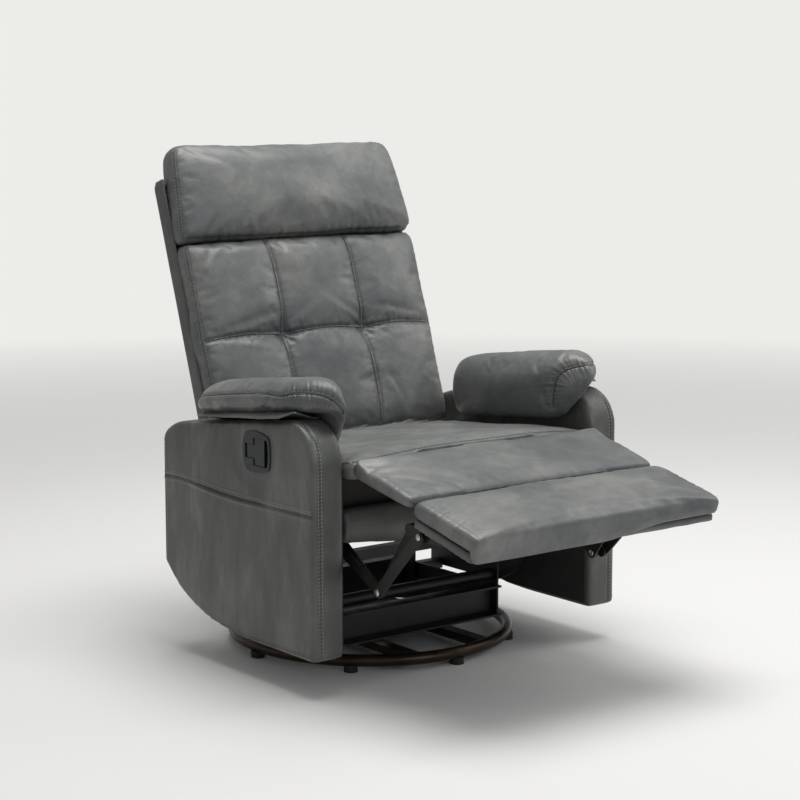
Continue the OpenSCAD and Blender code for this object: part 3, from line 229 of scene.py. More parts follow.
# Moulded plastic and rubber: even colour, a fine moulded texture
def mouldedFinish(name, look):
    material, tree, place = newMaterial(name)
    clouds = noise(tree, place, look["cloudMm"], Detail=3.0)
    tone = tones(tree, clouds, (0.3, look["dark"]), (0.7, look["light"]))
    bump = bumps(tree, noise(tree, place, look["textureMm"], Detail=2.0), look["texture"], 0.0003)
    surface(tree, {"Roughness": look["roughness"], "IOR": 1.49}, tone, bump)
    return material


# ABS of the latch: blue-black, half matt
latchAbs = mouldedFinish("mouldedAbs", {"dark": "#15181b", "light": "#20242a", "cloudMm": 14,
    "textureMm": 1.0, "texture": 0.18, "roughness": 0.36})
# Rubber feet and cable sheath: matt black with a grey bloom
blackRubber = mouldedFinish("blackRubber", {"dark": "#101010", "light": "#1e1e1d", "cloudMm": 8,
    "textureMm": 1.2, "texture": 0.3, "roughness": 0.78})


# Black spun cloth over the inner boards and the back's frame: matt, with a fine cross weave.
# Threads are really 0.5 mm apart, drawn at 2 mm so that they show
def spunCloth(name, look):
    material, tree, place = newMaterial(name)
    threads = [bands(tree, place, look["threadMm"], bands_direction=way, Distortion=0.4) for way in "YZ"]
    weave = addNode(tree, "ShaderNodeMath", {"operation": "MULTIPLY"}, dict(enumerate(threads)))
    clouds = noise(tree, place, look["cloudMm"], Detail=4.0)
    tone = tones(tree, clouds, (0.3, look["dark"]), (0.7, look["light"]))
    bump = bumps(tree, weave.outputs[0], 0.4, 0.0004)
    surface(tree, {"Roughness": 0.85, "Sheen Weight": 0.15}, tone, bump)
    return material


liningCloth = spunCloth("blackSpunCloth", {"dark": "#1c1a18", "light": "#292623", "threadMm": 2.0,
    "cloudMm": 60})


# Sawn and sanded poplar plywood of the seat box: long pale grain
def sandedPly(name, look):
    material, tree, place = newMaterial(name)
    grain = bands(tree, stretched(tree, place, look["stretch"]), look["ringMm"], Distortion=3.0, Detail=3.0,
        bands_direction="Z")
    tone = tones(tree, grain, (0.2, look["dark"]), (0.8, look["light"]))
    surface(tree, {"Roughness": 0.68}, tone, bumps(tree, grain, 0.25, 0.0004))
    return material


plyBoard = sandedPly("sandedPoplarPly", {"dark": "#9c7850", "light": "#b8946a", "ringMm": 7,
    "stretch": (0.25, 0.25, 1.0)})


def leftAndRight(name):
    return [name + "_left", name + "_right"]


nodeFinish = {
    bronzePaint: ["base_ring", "base_rails"],
    blackRubber: ["base_feet", "release_cable"],
    zincPlate: ["swivel_bearing", "king_bolt", "mech_bolts", "seat_springs", "back_springs", "handle_pin",
        "release_pawl"],
    blackPowderCoat: ["swivel_lower_plate", "swivel_top_plate", "glide_front_beam", "glide_rear_beam",
        "glide_brackets", "glide_tie_tube", "front_glide_links", "rear_glide_links", "glide_rails",
        "front_cross_rail", "rear_cross_rail", "back_hinge_plates", "back_posts", "drive_tube",
        "leg_brackets", *leftAndRight("mech_plate"), *leftAndRight("inner_crank"),
        *leftAndRight("inner_rod"), *leftAndRight("outer_crank"), *leftAndRight("outer_rod")],
    plyBoard: [*leftAndRight("seat_side_rail"), "seat_rear_rail"],
    liningCloth: [*leftAndRight("arm_lining"), "seat_front_rail", "back_uprights", "back_crossbars"],
    latchAbs: ["release_cup", "release_handle"],
}
for finish, names in nodeFinish.items():
    for nodeName in names:
        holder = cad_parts[nodeName]
        if not holder.material_slots:
            holder.data.materials.append(finish)
        for materialSlot in holder.material_slots:
            materialSlot.material = finish
print("materials made")


# Shaping tools for stuffed pieces, all in millimetres from the swivel axis

def bodyFrame(origin, tilt):
    # u runs to the sitter's left, v along the cushion, rising to the rear, and w out of its face
    a = math.radians(tilt)
    return {"origin": np.array(origin, float), "u": np.array((1.0, 0.0, 0.0)),
        "v": np.array((0.0, math.cos(a), math.sin(a))), "w": np.array((0.0, -math.sin(a), math.cos(a)))}


def smoothLine(points, step=6.0):
    # an even, rounded line through listed points
    p = np.array(points, float)
    p = np.vstack([2 * p[0] - p[1], p, 2 * p[-1] - p[-2]])
    rounded = []
    for i in range(1, len(p) - 2):
        a, b, c, d = p[i - 1:i + 3]
        count = max(2, int(np.linalg.norm(c - b) / step))
        for t in np.arange(count) / count:
            rounded.append(0.5 * (2 * b + (c - a) * t + (2 * a - 5 * b + 4 * c - d) * t * t
                + (3 * b - a - 3 * c + d) * t ** 3))
    rounded.append(p[-2])
    return np.array(rounded)


swivelPlace = np.array((0, swivelShift, 0))


def toWorld(points):
    return (np.asarray(points) + swivelPlace) / 1000


def toSwivel(places):
    return np.asarray(places) * 1000 - swivelPlace


def coordinates(mesh):
    flat = np.empty(len(mesh.vertices) * 3)
    mesh.vertices.foreach_get("co", flat)
    return toSwivel(flat.reshape(-1, 3))


def meshPoints(piece):
    return coordinates(piece.data)


def meshNormals(piece):
    flat = np.empty(len(piece.data.vertices) * 3)
    piece.data.vertices.foreach_get("normal", flat)
    return flat.reshape(-1, 3)


def movePoints(piece, points):
    piece.data.vertices.foreach_set("co", toWorld(points).ravel())
    piece.data.update()


def surfaceOf(piece):
    mesh = piece.data
    return BVHTree.FromPolygons([v.co for v in mesh.vertices], [p.vertices[:] for p in mesh.polygons])


castFrom = 300.0  # mm above a cushion, clear of its face


def fromFrame(axes, u, v, w):
    return axes["origin"] + u * axes["u"] + v * axes["v"] + w * axes["w"]


def layOn(tree, line, axes=None):
    # drops a seam onto the piece: along the cushion's own face, or to the nearest point
    places, normals = [], []
    for point in smoothLine(line):
        if len(point) == 2:
            start = fromFrame(axes, *point, castFrom)
            found = tree.ray_cast(Vector(toWorld(start)), Vector(-axes["w"]))
        else:
            start = point if axes is None else fromFrame(axes, *point)
            found = tree.find_nearest(Vector(toWorld(start)))
        if found[0] is not None:
            places.append(toSwivel(found[0]))
            normals.append(np.array(found[1]))
    return np.array(places), np.array(normals)


def seamField(points, line, normals, reach):
    # distance, place along, and side of every point near a seam
    distance = np.full(len(points), 1e6)
    along = np.zeros(len(points))
    side = np.zeros(len(points))
    low, high = line.min(0) - reach, line.max(0) + reach
    near = np.flatnonzero(np.all((points > low) & (points < high), axis=1))
    local = points[near]
    best = np.full(len(near), 1e6)
    run = 0.0
    for i in range(len(line) - 1):
        step = line[i + 1] - line[i]
        length = np.linalg.norm(step)
        if length < 1e-6:
            continue
        t = np.clip((local - line[i]) @ step / length ** 2, 0, 1)
        off = local - line[i] - t[:, None] * step
        d = np.linalg.norm(off, axis=1)
        closer = d < best
        best[closer] = d[closer]
        along[near[closer]] = run + t[closer] * length
        side[near[closer]] = np.sign(off[closer] @ np.cross(normals[i], step))
        run += length
    distance[near] = best
    return distance, along, side, run


def gather(along, pitch, seed):
    # uneven little pleats, never quite the same twice
    dice = random.Random(seed)
    waves = np.zeros(len(along))
    for share in (0.72, 1.0, 1.37):
        wave = np.sin(2 * np.pi * along / (pitch * share) + dice.uniform(0, 6.28))
        waves += wave * dice.uniform(0.6, 1.0)
    return waves / 2.2


def swellNoise(points, height, size, seed):
    # soft lumps, a few waves in chance directions
    dice = random.Random(seed)
    total = np.zeros(len(points))
    for _ in range(7):
        way = np.array([dice.gauss(0, 1) for _ in range(3)])
        way /= np.linalg.norm(way)
        wave = size * dice.uniform(0.7, 1.5)
        total += np.sin(2 * np.pi * (points @ way) / wave + dice.uniform(0, 6.28))
    return total / 3.5 * height


def softSeam(depth, width, shade, pleat, reach, pitch, seed, span=(0, 1), ease=70):
    # a sewn line with pleats along a share of its length, which die out over some millimetres
    return {"depth": depth, "width": width, "shade": shade, "pleat": pleat, "reach": reach,
        "pitch": pitch, "seed": seed, "span": span, "ease": ease}


def pressSeam(points, outward, crease, line, normals, seam):
    # one sewn line: a groove, a rolled edge beside it, pleats running off it, and painted shade in the
    # groove and the pleats' valleys
    reach = max(seam.get("reach", 0) * 2.5, seam["width"] * 4, 30)
    d, along, side, length = seamField(points, line, normals, reach)
    rise = -seam["depth"] * np.exp(-(d / seam["width"]) ** 2)
    if "roll" in seam:
        rolled = np.where(side * seam["rollSide"] > 0, 1.0, 0.35)
        rise += seam["roll"] * rolled * np.exp(-((d - seam["width"] * 1.7) / (seam["width"] * 0.9)) ** 2)
    if "pleat" in seam:
        first, last = seam["span"]
        window = np.clip((along - first * length) / seam["ease"], 0, 1)
        window *= np.clip((last * length - along) / seam["ease"], 0, 1)
        fade = np.exp(-d / seam["reach"]) * np.clip(d / 4, 0, 1)
        folds = gather(along + 0.25 * d * side, seam["pitch"], seam["seed"])
        rise += seam["pleat"] * fade * window * folds
        # painted shade in the pleats' valleys and down along the groove
        crease += 0.28 * fade * window * np.clip(-folds, 0, 1)
    crease += seam["shade"] * np.exp(-(d / (seam["width"] * 1.1)) ** 2)
    points += outward * rise[:, None]


def pressTuft(points, outward, crease, centre, tuft):
    # where two seams cross: a button-deep dip with short radiating pleats, and painted shade in the dip
    off = points - centre
    r = np.linalg.norm(off, axis=1)
    angle = np.arctan2(off[:, 2], off[:, 0])
    dice = random.Random(tuft["seed"])
    rays = sum(np.sin(k * angle + dice.uniform(0, 6.28)) for k in (5, 7, 9)) / 2.2
    rise = -tuft["depth"] * np.exp(-(r / tuft["radius"]) ** 2)
    rise += tuft["rays"] * rays * np.exp(-((r - tuft["radius"]) / (tuft["radius"] * 0.9)) ** 2)
    crease += tuft["shade"] * np.exp(-(r / (tuft["radius"] * 0.9)) ** 2)
    points += outward * rise[:, None]


def takeMesh(piece):
    # keeps the shape that the modifiers give, and no modifier
    graph = bpy.context.evaluated_depsgraph_get()
    shaped = bpy.data.meshes.new_from_object(piece.evaluated_get(graph))
    old = piece.data
    piece.modifiers.clear()
    piece.data = shaped
    bpy.data.meshes.remove(old)


def coverMesh(mesh, material):
    mesh.materials.clear()
    mesh.materials.append(material)
    mesh.polygons.foreach_set("use_smooth", [True] * len(mesh.polygons))


def newPiece(name, bm, material=None, body=None):
    # makes an object of a finished mesh; with a body it belongs to the part
    mesh = bpy.data.meshes.new(name)
    bm.to_mesh(mesh)
    bm.free()
    if material is not None:
        coverMesh(mesh, material)
    piece = bpy.data.objects.new(name, mesh)
    scene.collection.objects.link(piece)
    if body is not None:
        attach(piece, body)
    return piece


def foamCopy(name, source, look, mirrored=False):
    # a closed, even skin over the CAD solid
    bm = bmesh.new()
    bm.from_mesh(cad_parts[source].data)
    bmesh.ops.remove_doubles(bm, verts=bm.verts, dist=1e-5)
    if mirrored:
        bmesh.ops.scale(bm, verts=bm.verts, vec=(-1, 1, 1))
        bmesh.ops.reverse_faces(bm, faces=bm.faces)
    piece = newPiece(name, bm)
    skin = piece.modifiers.new("skin", "REMESH")
    skin.mode = "VOXEL"
    skin.voxel_size = look["cell"] / 1000
    skin.use_smooth_shade = True
    soften = piece.modifiers.new("soften", "SMOOTH")
    soften.factor = 0.5
    soften.iterations = look["smoothing"]
    takeMesh(piece)
    return piece


stuffed = []


def stuff(piece, held, settings):
    # readies a piece for the cloth pass; held is how firmly each point is sewn down
    points = meshPoints(piece)
    movePoints(piece, points - meshNormals(piece) * settings["slack"])
    group = piece.vertex_groups.new(name="sewn")
    for level in range(1, 11):
        chosen = np.flatnonzero(np.round(held * 10) == level)
        if len(chosen):
            group.add(chosen.tolist(), level / 10, "REPLACE")
    stuffed.append((piece, meshPoints(piece), settings))


clothLook = {"quality": 4, "mass": 0.35, "tension_stiffness": 18, "compression_stiffness": 18,
    "shear_stiffness": 6, "vertex_group_mass": "sewn", "use_pressure": True,
    "uniform_pressure_force": 4}
clothSteps = 20


def inflateAll():
    # one cloth pass for every stuffed piece, then each point's travel is capped
    for piece, rest, settings in stuffed:
        cloth = piece.modifiers.new("cloth", "CLOTH")
        own = {"bending_stiffness": settings["bend"], "shrink_min": settings["extra"]}
        for key, value in {**clothLook, **own}.items():
            setattr(cloth.settings, key, value)
        cloth.settings.effector_weights.gravity = 0
        cloth.collision_settings.use_collision = False
        cloth.point_cache.frame_start = 1
        cloth.point_cache.frame_end = clothSteps
    for step in range(1, clothSteps + 1):
        scene.frame_set(step)
    graph = bpy.context.evaluated_depsgraph_get()
    results = []
    for piece, rest, settings in stuffed:
        shaped = piece.evaluated_get(graph)
        results.append(coordinates(shaped.to_mesh()))
        shaped.to_mesh_clear()
    for (piece, rest, settings), full in zip(stuffed, results):
        piece.modifiers.clear()
        travel = full - rest
        size = np.linalg.norm(travel, axis=1)
        cap = settings["cap"]
        travel *= (np.tanh(size / cap) * cap / np.maximum(size, 1e-6))[:, None]
        movePoints(piece, rest + travel)
        print("stuffed", piece.name, "largest", round(float(size.max()), 1),
            "mean", round(float(size.mean()), 1))
    scene.frame_set(1)


def smoothSkin(piece):
    # one round of subdivision, taken into the mesh
    fine = piece.modifiers.new("fine", "SUBSURF")
    fine.levels = 1
    fine.render_levels = 1
    takeMesh(piece)


# stores each point's painted shade as a point attribute, which the leather's colour reads
def writeCreaseShade(mesh, crease):
    shade = mesh.attributes.get("crease") or mesh.attributes.new("crease", "FLOAT", "POINT")
    shade.data.foreach_set("value", np.clip(crease, 0, 1).astype(np.float32))


def finishPiece(piece, material, body, node, crease=None):
    coverMesh(piece.data, material)
    writeCreaseShade(piece.data, np.zeros(len(piece.data.vertices)) if crease is None else crease)
    piece.data.update()
    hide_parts(node)
    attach(piece, body)


def runLengths(line):
    return np.concatenate([[0], np.cumsum(np.linalg.norm(np.diff(line, axis=0), axis=1))])


def pointAt(line, lengths, place):
    # the stretch of a line that holds a place along it, and the point there
    i = min(max(int(np.searchsorted(lengths, place)) - 1, 0), len(line) - 2)
    share = (place - lengths[i]) / max(lengths[i + 1] - lengths[i], 1e-6)
    return i, Vector(line[i] + share * (line[i + 1] - line[i]))


stitchLook = {"seed": 11, "askew": 0.12, "flat": 1.3, "sunk": 0.18}  # chance turn, width to height, rise


def sewOn(name, rows, thread, body):
    # stitches of one piece as one mesh; each row is (surface, line, normals, offset, settings)
    bm = bmesh.new()
    dice = random.Random(stitchLook["seed"])
    for tree, line, normals, offset, stitch in rows:
        lengths = runLengths(line)
        place = stitch["pitch"] / 2
        while place < lengths[-1]:
            i, middle = pointAt(line, lengths, place)
            along = Vector(line[i + 1] - line[i]).normalized()
            middle += Vector(normals[i]).normalized().cross(along) * offset
            spot, normal = tree.find_nearest(Vector(toWorld(middle)))[:2]
            place += stitch["pitch"]
            if spot is None:
                continue
            along = (along - normal * along.dot(normal)).normalized()
            askew = dice.uniform(-stitchLook["askew"], stitchLook["askew"])
            along = (along + normal.cross(along) * askew).normalized()
            turn = Matrix((along, normal.cross(along), normal)).transposed().to_4x4()
            thick = stitch["thick"] / 2000
            size = Matrix.Diagonal((stitch["length"] / 2000, thick, thick / stitchLook["flat"], 1))
            seat = Matrix.Translation(spot + normal * stitch["thick"] * stitchLook["sunk"] / 1000)
            bmesh.ops.create_icosphere(bm, subdivisions=1, radius=1, matrix=seat @ turn @ size)
    return newPiece(name, bm, thread, body)


# the third column of the fold's shape is painted shade, darkest on the steep side at the seam
foldShape = ((-1.3, -1.2, 1.0), (-0.7, 0.1, 1.0), (0.1, 1.0, 0.55), (1.3, 1.35, 0.0), (3.0, 1.15, 0.0),
    (4.8, 0.35, 0.0), (6.0, -1.0, 0.1))  # across, height, darkness: the steep side is the seam itself
foldLook = {"step": 4, "taper": 10, "sunk": 0.9}  # mm along the seam, and how deep the ends go in


def foldAlong(name, rows, material, body):
    # the turned edge of the leather beside a seam; each row is (surface, line, normals, side, size)
    bm = bmesh.new()
    shade = bm.verts.layers.float.new("crease")
    for tree, line, _, side, size in rows:
        lengths = runLengths(line)
        count = max(3, int(lengths[-1] / foldLook["step"]))
        before = None
        for k in range(count + 1):
            i, middle = pointAt(line, lengths, lengths[-1] * k / count)
            along = Vector(line[min(i + 2, len(line) - 1)] - line[max(i - 1, 0)]).normalized()
            spot, normal = tree.find_nearest(Vector(toWorld(middle)))[:2]
            aside = normal.cross(along).normalized() * side
            thin = min(1.0, min(k, count - k) / count * lengths[-1] / foldLook["taper"])
            ring = []
            for across, height, dark in foldShape:
                rise = height * size * thin - foldLook["sunk"] * (1 - thin)
                vert = bm.verts.new(spot + (aside * across * size + normal * rise) / 1000)
                vert[shade] = dark * thin
                ring.append(vert)
            for j in range(len(ring) - 1 if before else 0):
                corners = (before[j], ring[j], ring[j + 1], before[j + 1])
                bm.faces.new(corners if side > 0 else corners[::-1])
            before = ring
    newPiece(name, bm, material, body)


def sewnDown(points, line, normals, width):
    d = seamField(points, line, normals, width * 3)[0]
    return np.exp(-(d / width) ** 2)


def smoothStep(values, low, high):
    t = np.clip((values - low) / (high - low), 0, 1)
    return t * t * (3 - 2 * t)


# Frames of the cushions, from the same sizes as the CAD
backLean = 18.5
seatSlope = {"frontZ": 457, "rearZ": 417, "frontY": -349.5, "rearY": 97}
backAxes = bodyFrame((0, 118, 400), 90 - backLean)
seatAxes = bodyFrame((0, seatSlope["frontY"], seatSlope["frontZ"]), math.degrees(math.atan2(
    seatSlope["rearZ"] - seatSlope["frontZ"], seatSlope["rearY"] - seatSlope["frontY"])))
midAxes = bodyFrame((0, -350, 420), 11.8)
legAxes = bodyFrame((0, -521.99, 384.07), 13.5)


def inFrame(points, axes):
    off = points - axes["origin"]
    return off @ axes["u"], off @ axes["v"], off @ axes["w"]


singleStitch = {"pitch": 7.0, "length": 4.8, "thick": 1.7}
boldStitch = {"pitch": 7.5, "length": 5.4, "thick": 2.0}
sides = ((1, "left"), (-1, "right"))


def mirrored(line):
    return [(-point[0], *point[1:]) for point in line]


def onBothSides(lines, paired):
    # a seam that is named in paired runs along both sides of the cushion
    full = {}
    for name, line in lines.items():
        if name in paired:
            full[name + "Left"] = line
            full[name + "Right"] = mirrored(line)
        else:
            full[name] = line
    return full


dragLook = {"face": (20, 34), "width": 9, "apart": 13, "valley": 0.8}
dragLines = ((-190, 250, 90, 12, 1.6), (-210, 215, 80, -10, 1.4), (190, 255, 90, -12, 1.5),
    (205, 212, 85, 9, 1.4), (-60, 262, 55, 32, 1.1), (62, 262, 55, -30, 1.1), (-262, 420, 60, 60, 1.8),
    (-250, 395, 70, 48, 1.5), (262, 415, 60, -58, 1.5), (-150, 60, 90, 70, 1.6), (150, 70, 90, -65, 1.6),
    (-240, 60, 80, 40, 1.5))  # place across and up the back, length, angle, height


def backFolds(points, outward):
    # soft drag lines in the leather between the tufts and the outer edges
    u, v, w = inFrame(points, backAxes)
    face = smoothStep(w, *dragLook["face"])
    for acrossBack, upBack, length, angle, height in dragLines:
        a = math.radians(angle)
        p = (u - acrossBack) * math.cos(a) + (v - upBack) * math.sin(a)
        q = -(u - acrossBack) * math.sin(a) + (v - upBack) * math.cos(a)
        ridge = np.exp(-(q / dragLook["width"]) ** 2)
        ridge -= dragLook["valley"] * np.exp(-((q - dragLook["apart"]) / dragLook["width"]) ** 2)
        points += outward * (height * np.exp(-(p / length) ** 2) * face * ridge)[:, None]


boxingLook = {"deep": 13, "behind": (-4, 18), "edge": (240, 285)}


def deepSides(points, outward):
    # the boxing runs back over the frame's edge to the rear panel
    u, v, w = inFrame(points, backAxes)
    share = smoothStep(-w, *boxingLook["behind"]) * smoothStep(np.abs(u), *boxingLook["edge"])
    points -= np.outer(boxingLook["deep"] * share, backAxes["w"])


# Back cushion. Seams are pressed in the order of its lines; a fold is a seam, its side and its
# size, and a stitch row is a seam and how far off it runs
backLook = {
    "title": "back", "node": "back_cushion", "body": "back", "axes": backAxes, "rear": -16, "fill": 0.8,
    "cell": 6.0, "smoothing": 7, "slack": 2.0, "cap": 8, "extra": -0.008, "bend": 4,
    "lumps": (0.8, 110, 51), "shapers": (backFolds, deepSides), "tufts": ((104, 232), (-104, 232)),
    "column": softSeam(depth=5.0, width=5.5, shade=0.25, pleat=0.8, reach=14, pitch=17, seed=4),
    "row": softSeam(depth=5.0, width=5.5, shade=0.25, pleat=1.0, reach=18, pitch=19, seed=6),
    "edge": softSeam(depth=2.0, width=5.0, shade=0.2, pleat=0.6, reach=16, pitch=21, seed=9),
    "tuft": {"depth": 5.5, "radius": 19, "rays": 1.5, "shade": 0.35, "seed": 5},
    "lines": onBothSides({
        "row": [(-290, 231), (-200, 236), (-104, 232), (0, 236), (104, 232), (200, 236), (290, 231)],
        "column": [(104, 22), (106, 120), (104, 232), (101, 335), (103, 436)],
        "edge": [(299, 26, 19), (298, 200, 19), (299, 436, 19)]}, ("column", "edge")),
    "folds": (("columnLeft", -1, 1.0), ("columnRight", -1, 1.0), ("row", 1, 1.0),
        ("edgeLeft", 1, 0.8), ("edgeRight", -1, 0.8)),
    "stitches": (("columnLeft", -3.4), ("columnRight", -3.4), ("row", 3.4), ("row", -4.5),
        ("edgeLeft", 3.4), ("edgeRight", -3.4), ("edgeLeft", -5), ("edgeRight", 5)),
    "stitch": singleStitch, "thread": midThread,
}

# Headrest pillow
headLook = {
    "title": "headrest", "node": "headrest", "body": "back", "axes": backAxes, "rear": -16, "fill": 0.85,
    "cell": 5.5, "smoothing": 8, "slack": 1.5, "cap": 8, "extra": -0.006, "bend": 4,
    "lumps": (1.2, 130, 53), "shapers": (deepSides,),
    "edge": softSeam(depth=2.0, width=5.0, shade=0.2, pleat=0.6, reach=16, pitch=23, seed=12),
    "foot": softSeam(depth=2.0, width=6.0, shade=0.5, pleat=1.2, reach=24, pitch=26, seed=14),
    "lines": onBothSides({
        "edge": [(298, 450, 19), (292, 520, 19), (286, 600, 19), (276, 636, 16), (252, 650, 10)],
        "foot": [(-294, 449), (-200, 447), (0, 446), (200, 447), (294, 449)]}, ("edge",)),
    "folds": (("edgeLeft", 1, 0.8), ("edgeRight", -1, 0.8)),
    "stitches": (("edgeLeft", 3.4), ("edgeRight", -3.4), ("edgeLeft", -5), ("edgeRight", 5)),
    "stitch": singleStitch, "thread": midThread,
}

# Seat cushion
seatLook = {
    "title": "seat", "node": "seat_cushion", "body": "carriage", "axes": seatAxes, "rear": -30,
    "fill": 0.85, "cell": 6.5, "smoothing": 6, "slack": 1.5, "cap": 6, "extra": -0.004, "bend": 4,
    "lumps": (0.9, 150, 55),
    "front": softSeam(depth=1.6, width=4.0, shade=0.35, pleat=0.2, reach=14, pitch=34, seed=21),
    "lines": {"front": [(-307, 42), (-303, 26), (-290, 15), (-200, 14), (0, 12), (200, 14), (290, 15),
        (303, 26), (307, 42)]},
    "stitches": (("front", 3.4),), "stitch": boldStitch, "thread": darkThread,
}

# Middle panel
meetLook = {"up": 7, "back": 4, "near": (-46, -6), "top": (14, 30)}


def meetSeat(points, outward):
    # the panel's leather is sewn to the seat's front edge, level with it
    u, v, w = inFrame(points, midAxes)
    share = smoothStep(v, *meetLook["near"]) * smoothStep(w, *meetLook["top"])
    points += np.outer(share, meetLook["up"] * midAxes["w"] + meetLook["back"] * midAxes["v"])


midLook = {
    "node": "mid_panel", "body": "middle", "axes": midAxes, "rear": 6, "fill": 0.8,
    "cell": 5.5, "smoothing": 6, "slack": 1.2, "cap": 5, "extra": -0.003, "bend": 4,
    "lumps": (0.7, 120, 57), "shapers": (meetSeat,),
    "fold": softSeam(depth=1.0, width=6.0, shade=0.6, pleat=0.6, reach=20, pitch=34, seed=31),
    "edge": softSeam(depth=0.6, width=5.0, shade=0.1, pleat=0.9, reach=16, pitch=19, seed=32),
    "lines": onBothSides({
        "fold": [(-303, -171), (-100, -172), (100, -172), (303, -171)],
        "edge": [(292, -60), (292, -166)]}, ("edge",)),
}

# Leg rest pad
wrapLook = {"down": 19, "front": (166, 182), "height": (6, 22), "fade": (0, 170)}


def wrapBoard(points, outward):
    # the pad's leather is pulled down over the board's front edge, least at the sitter's left
    u, v, w = inFrame(points, legAxes)
    share = smoothStep(-v, *wrapLook["front"]) * (1 - smoothStep(w, *wrapLook["height"]))
    share *= 1 - smoothStep(u, *wrapLook["fade"])
    points -= np.outer(wrapLook["down"] * share, legAxes["w"])


legLook = {
    "node": "leg_pad", "body": "leg_rest", "axes": legAxes, "rear": 2, "fill": 0.8,
    "cell": 5.5, "smoothing": 6, "slack": 1.2, "cap": 6, "extra": -0.004, "bend": 4,
    "lumps": (0.8, 120, 59), "shapers": (wrapBoard,),
    "fold": softSeam(depth=1.5, width=6.0, shade=0.6, pleat=0.6, reach=22, pitch=34, seed=33),
    "edge": softSeam(depth=0.8, width=5.0, shade=0.1, pleat=0.6, reach=20, pitch=16, seed=36),
    "lines": onBothSides({
        "fold": [(-300, -6), (-100, -5), (100, -5), (300, -6)],
        "edge": [(294, -14), (294, -180)]}, ("edge",)),
}
cushionLooks = {"backCushion": backLook, "headrestPillow": headLook, "seatCushion": seatLook,
    "middlePanel": midLook, "legPad": legLook}
cushions = {name: foamCopy(name, look["node"], look) for name, look in cushionLooks.items()}

# Arm pillows. The two aren't gathered alike: the left one's seam passes over its top, further in
pillowLook = {
    "axes": None, "cell": 4.6, "smoothing": 7, "slack": 1.5, "cap": 6, "extra": -0.01, "bend": 2,
    "lumps": (0.9, 90, 61), "foldSize": 0.85, "stitchOffsets": (-3.2, 5),
    "gathered": softSeam(depth=3.2, width=4.5, shade=0.35, pleat=1.7, reach=15, pitch=10, seed=41,
        span=(0.44, 1.0), ease=30),
}
pillowSeam = [(362, 72, 524), (379, 62, 534), (388, 9, 546), (387, -72, 559), (387, -170, 571),
    (389, -231, 572), (382, -257, 579), (368, -282, 581), (351, -303, 579), (335, -322, 571),
    (325, -332, 558), (307, -329, 539), (290, -303, 523), (282, -286, 503), (285, -275, 480)]
overTheTop = [(364, -290, 577), (340, -312, 580), (313, -322, 581), (297, -305, 577), (285, -288, 569),
    (276, -275, 556), (270, -269, 537), (269, -266, 516), (271, -263, 492)]
pillowLooks = {"left": {**pillowLook, "lines": {"gathered": pillowSeam[:7] + overTheTop}},
    "right": {**pillowLook, "lines": {"gathered": mirrored(pillowSeam)}}}
pillows = {}
for way, sideName in sides:
    pillows[sideName] = foamCopy("armPillow" + sideName.title(), "arm_pillow_" + sideName, pillowLook)
print("foam shapes copied")

seamHold = {"cushion": 9.0, "rearDepth": 14, "pillow": 8}
armRest = {"inner": 311, "rear": 84, "rearTop": 481, "frontTop": 525, "length": 342, "over": 9,
    "beside": 6, "besideOver": 4}


def heldCushion(piece, look):
    # sewn along its seams and glued to what is behind it
    points = meshPoints(piece)
    tree = surfaceOf(piece)
    held = np.zeros(len(points))
    for line in look["lines"].values():
        laid = layOn(tree, line, look["axes"])
        held = np.maximum(held, sewnDown(points, *laid, seamHold["cushion"]))
    depth = inFrame(points, look["axes"])[2]
    glued = 1 - smoothStep(depth, look["rear"], look["rear"] + seamHold["rearDepth"])
    return np.clip(np.maximum(held, glued), 0, 1)


def heldPillow(piece, look):
    # sewn along its seam, and down where it lies on the arm
    points = meshPoints(piece)
    held = sewnDown(points, *layOn(surfaceOf(piece), look["lines"]["gathered"]), seamHold["pillow"])
    armTop = armRest["rearTop"] + (armRest["frontTop"] - armRest["rearTop"]) \
        * (armRest["rear"] - points[:, 1]) / armRest["length"]
    inward = np.abs(points[:, 0]) - armRest["inner"]
    onArm = (inward > 0) & (points[:, 2] < armTop + armRest["over"])
    beside = (np.abs(inward) < armRest["beside"]) & (points[:, 2] < armTop + armRest["besideOver"])
    return np.maximum(held, (onArm | beside) * 1.0)


for name, look in cushionLooks.items():
    stuff(cushions[name], heldCushion(cushions[name], look), look)
for sideName, look in pillowLooks.items():
    stuff(pillows[sideName], heldPillow(pillows[sideName], look), look)
inflateAll()
print("cloth pass done")
for piece in (*cushions.values(), *pillows.values()):
    smoothSkin(piece)


def dressCushion(piece, look):
    # presses the seams in after the stuffing and gives back how much painted shade each point's crease gets
    tree = surfaceOf(piece)
    points = meshPoints(piece)
    outward = meshNormals(piece)
    crease = np.zeros(len(points))
    points += outward * swellNoise(points, *look["lumps"])[:, None]
    for shaper in look.get("shapers", ()):
        shaper(points, outward)
    for lineName, line in look["lines"].items():
        seam = look[lineName.removesuffix("Left").removesuffix("Right")]
        pressSeam(points, outward, crease, *layOn(tree, line, look["axes"]), seam)
    for u, v in look.get("tufts", ()):
        centre = layOn(tree, [(u, v), (u + 1, v)], look["axes"])[0][0]
        pressTuft(points, outward, crease, centre, look["tuft"])
    movePoints(piece, points)
    return crease


def seamRows(piece, look, rows, *more):
    # each row's seam laid on the finished piece, with what its fold or stitches need
    tree = surfaceOf(piece)
    return [(tree, *layOn(tree, look["lines"][row[0]], look["axes"]), *row[1:], *more) for row in rows]


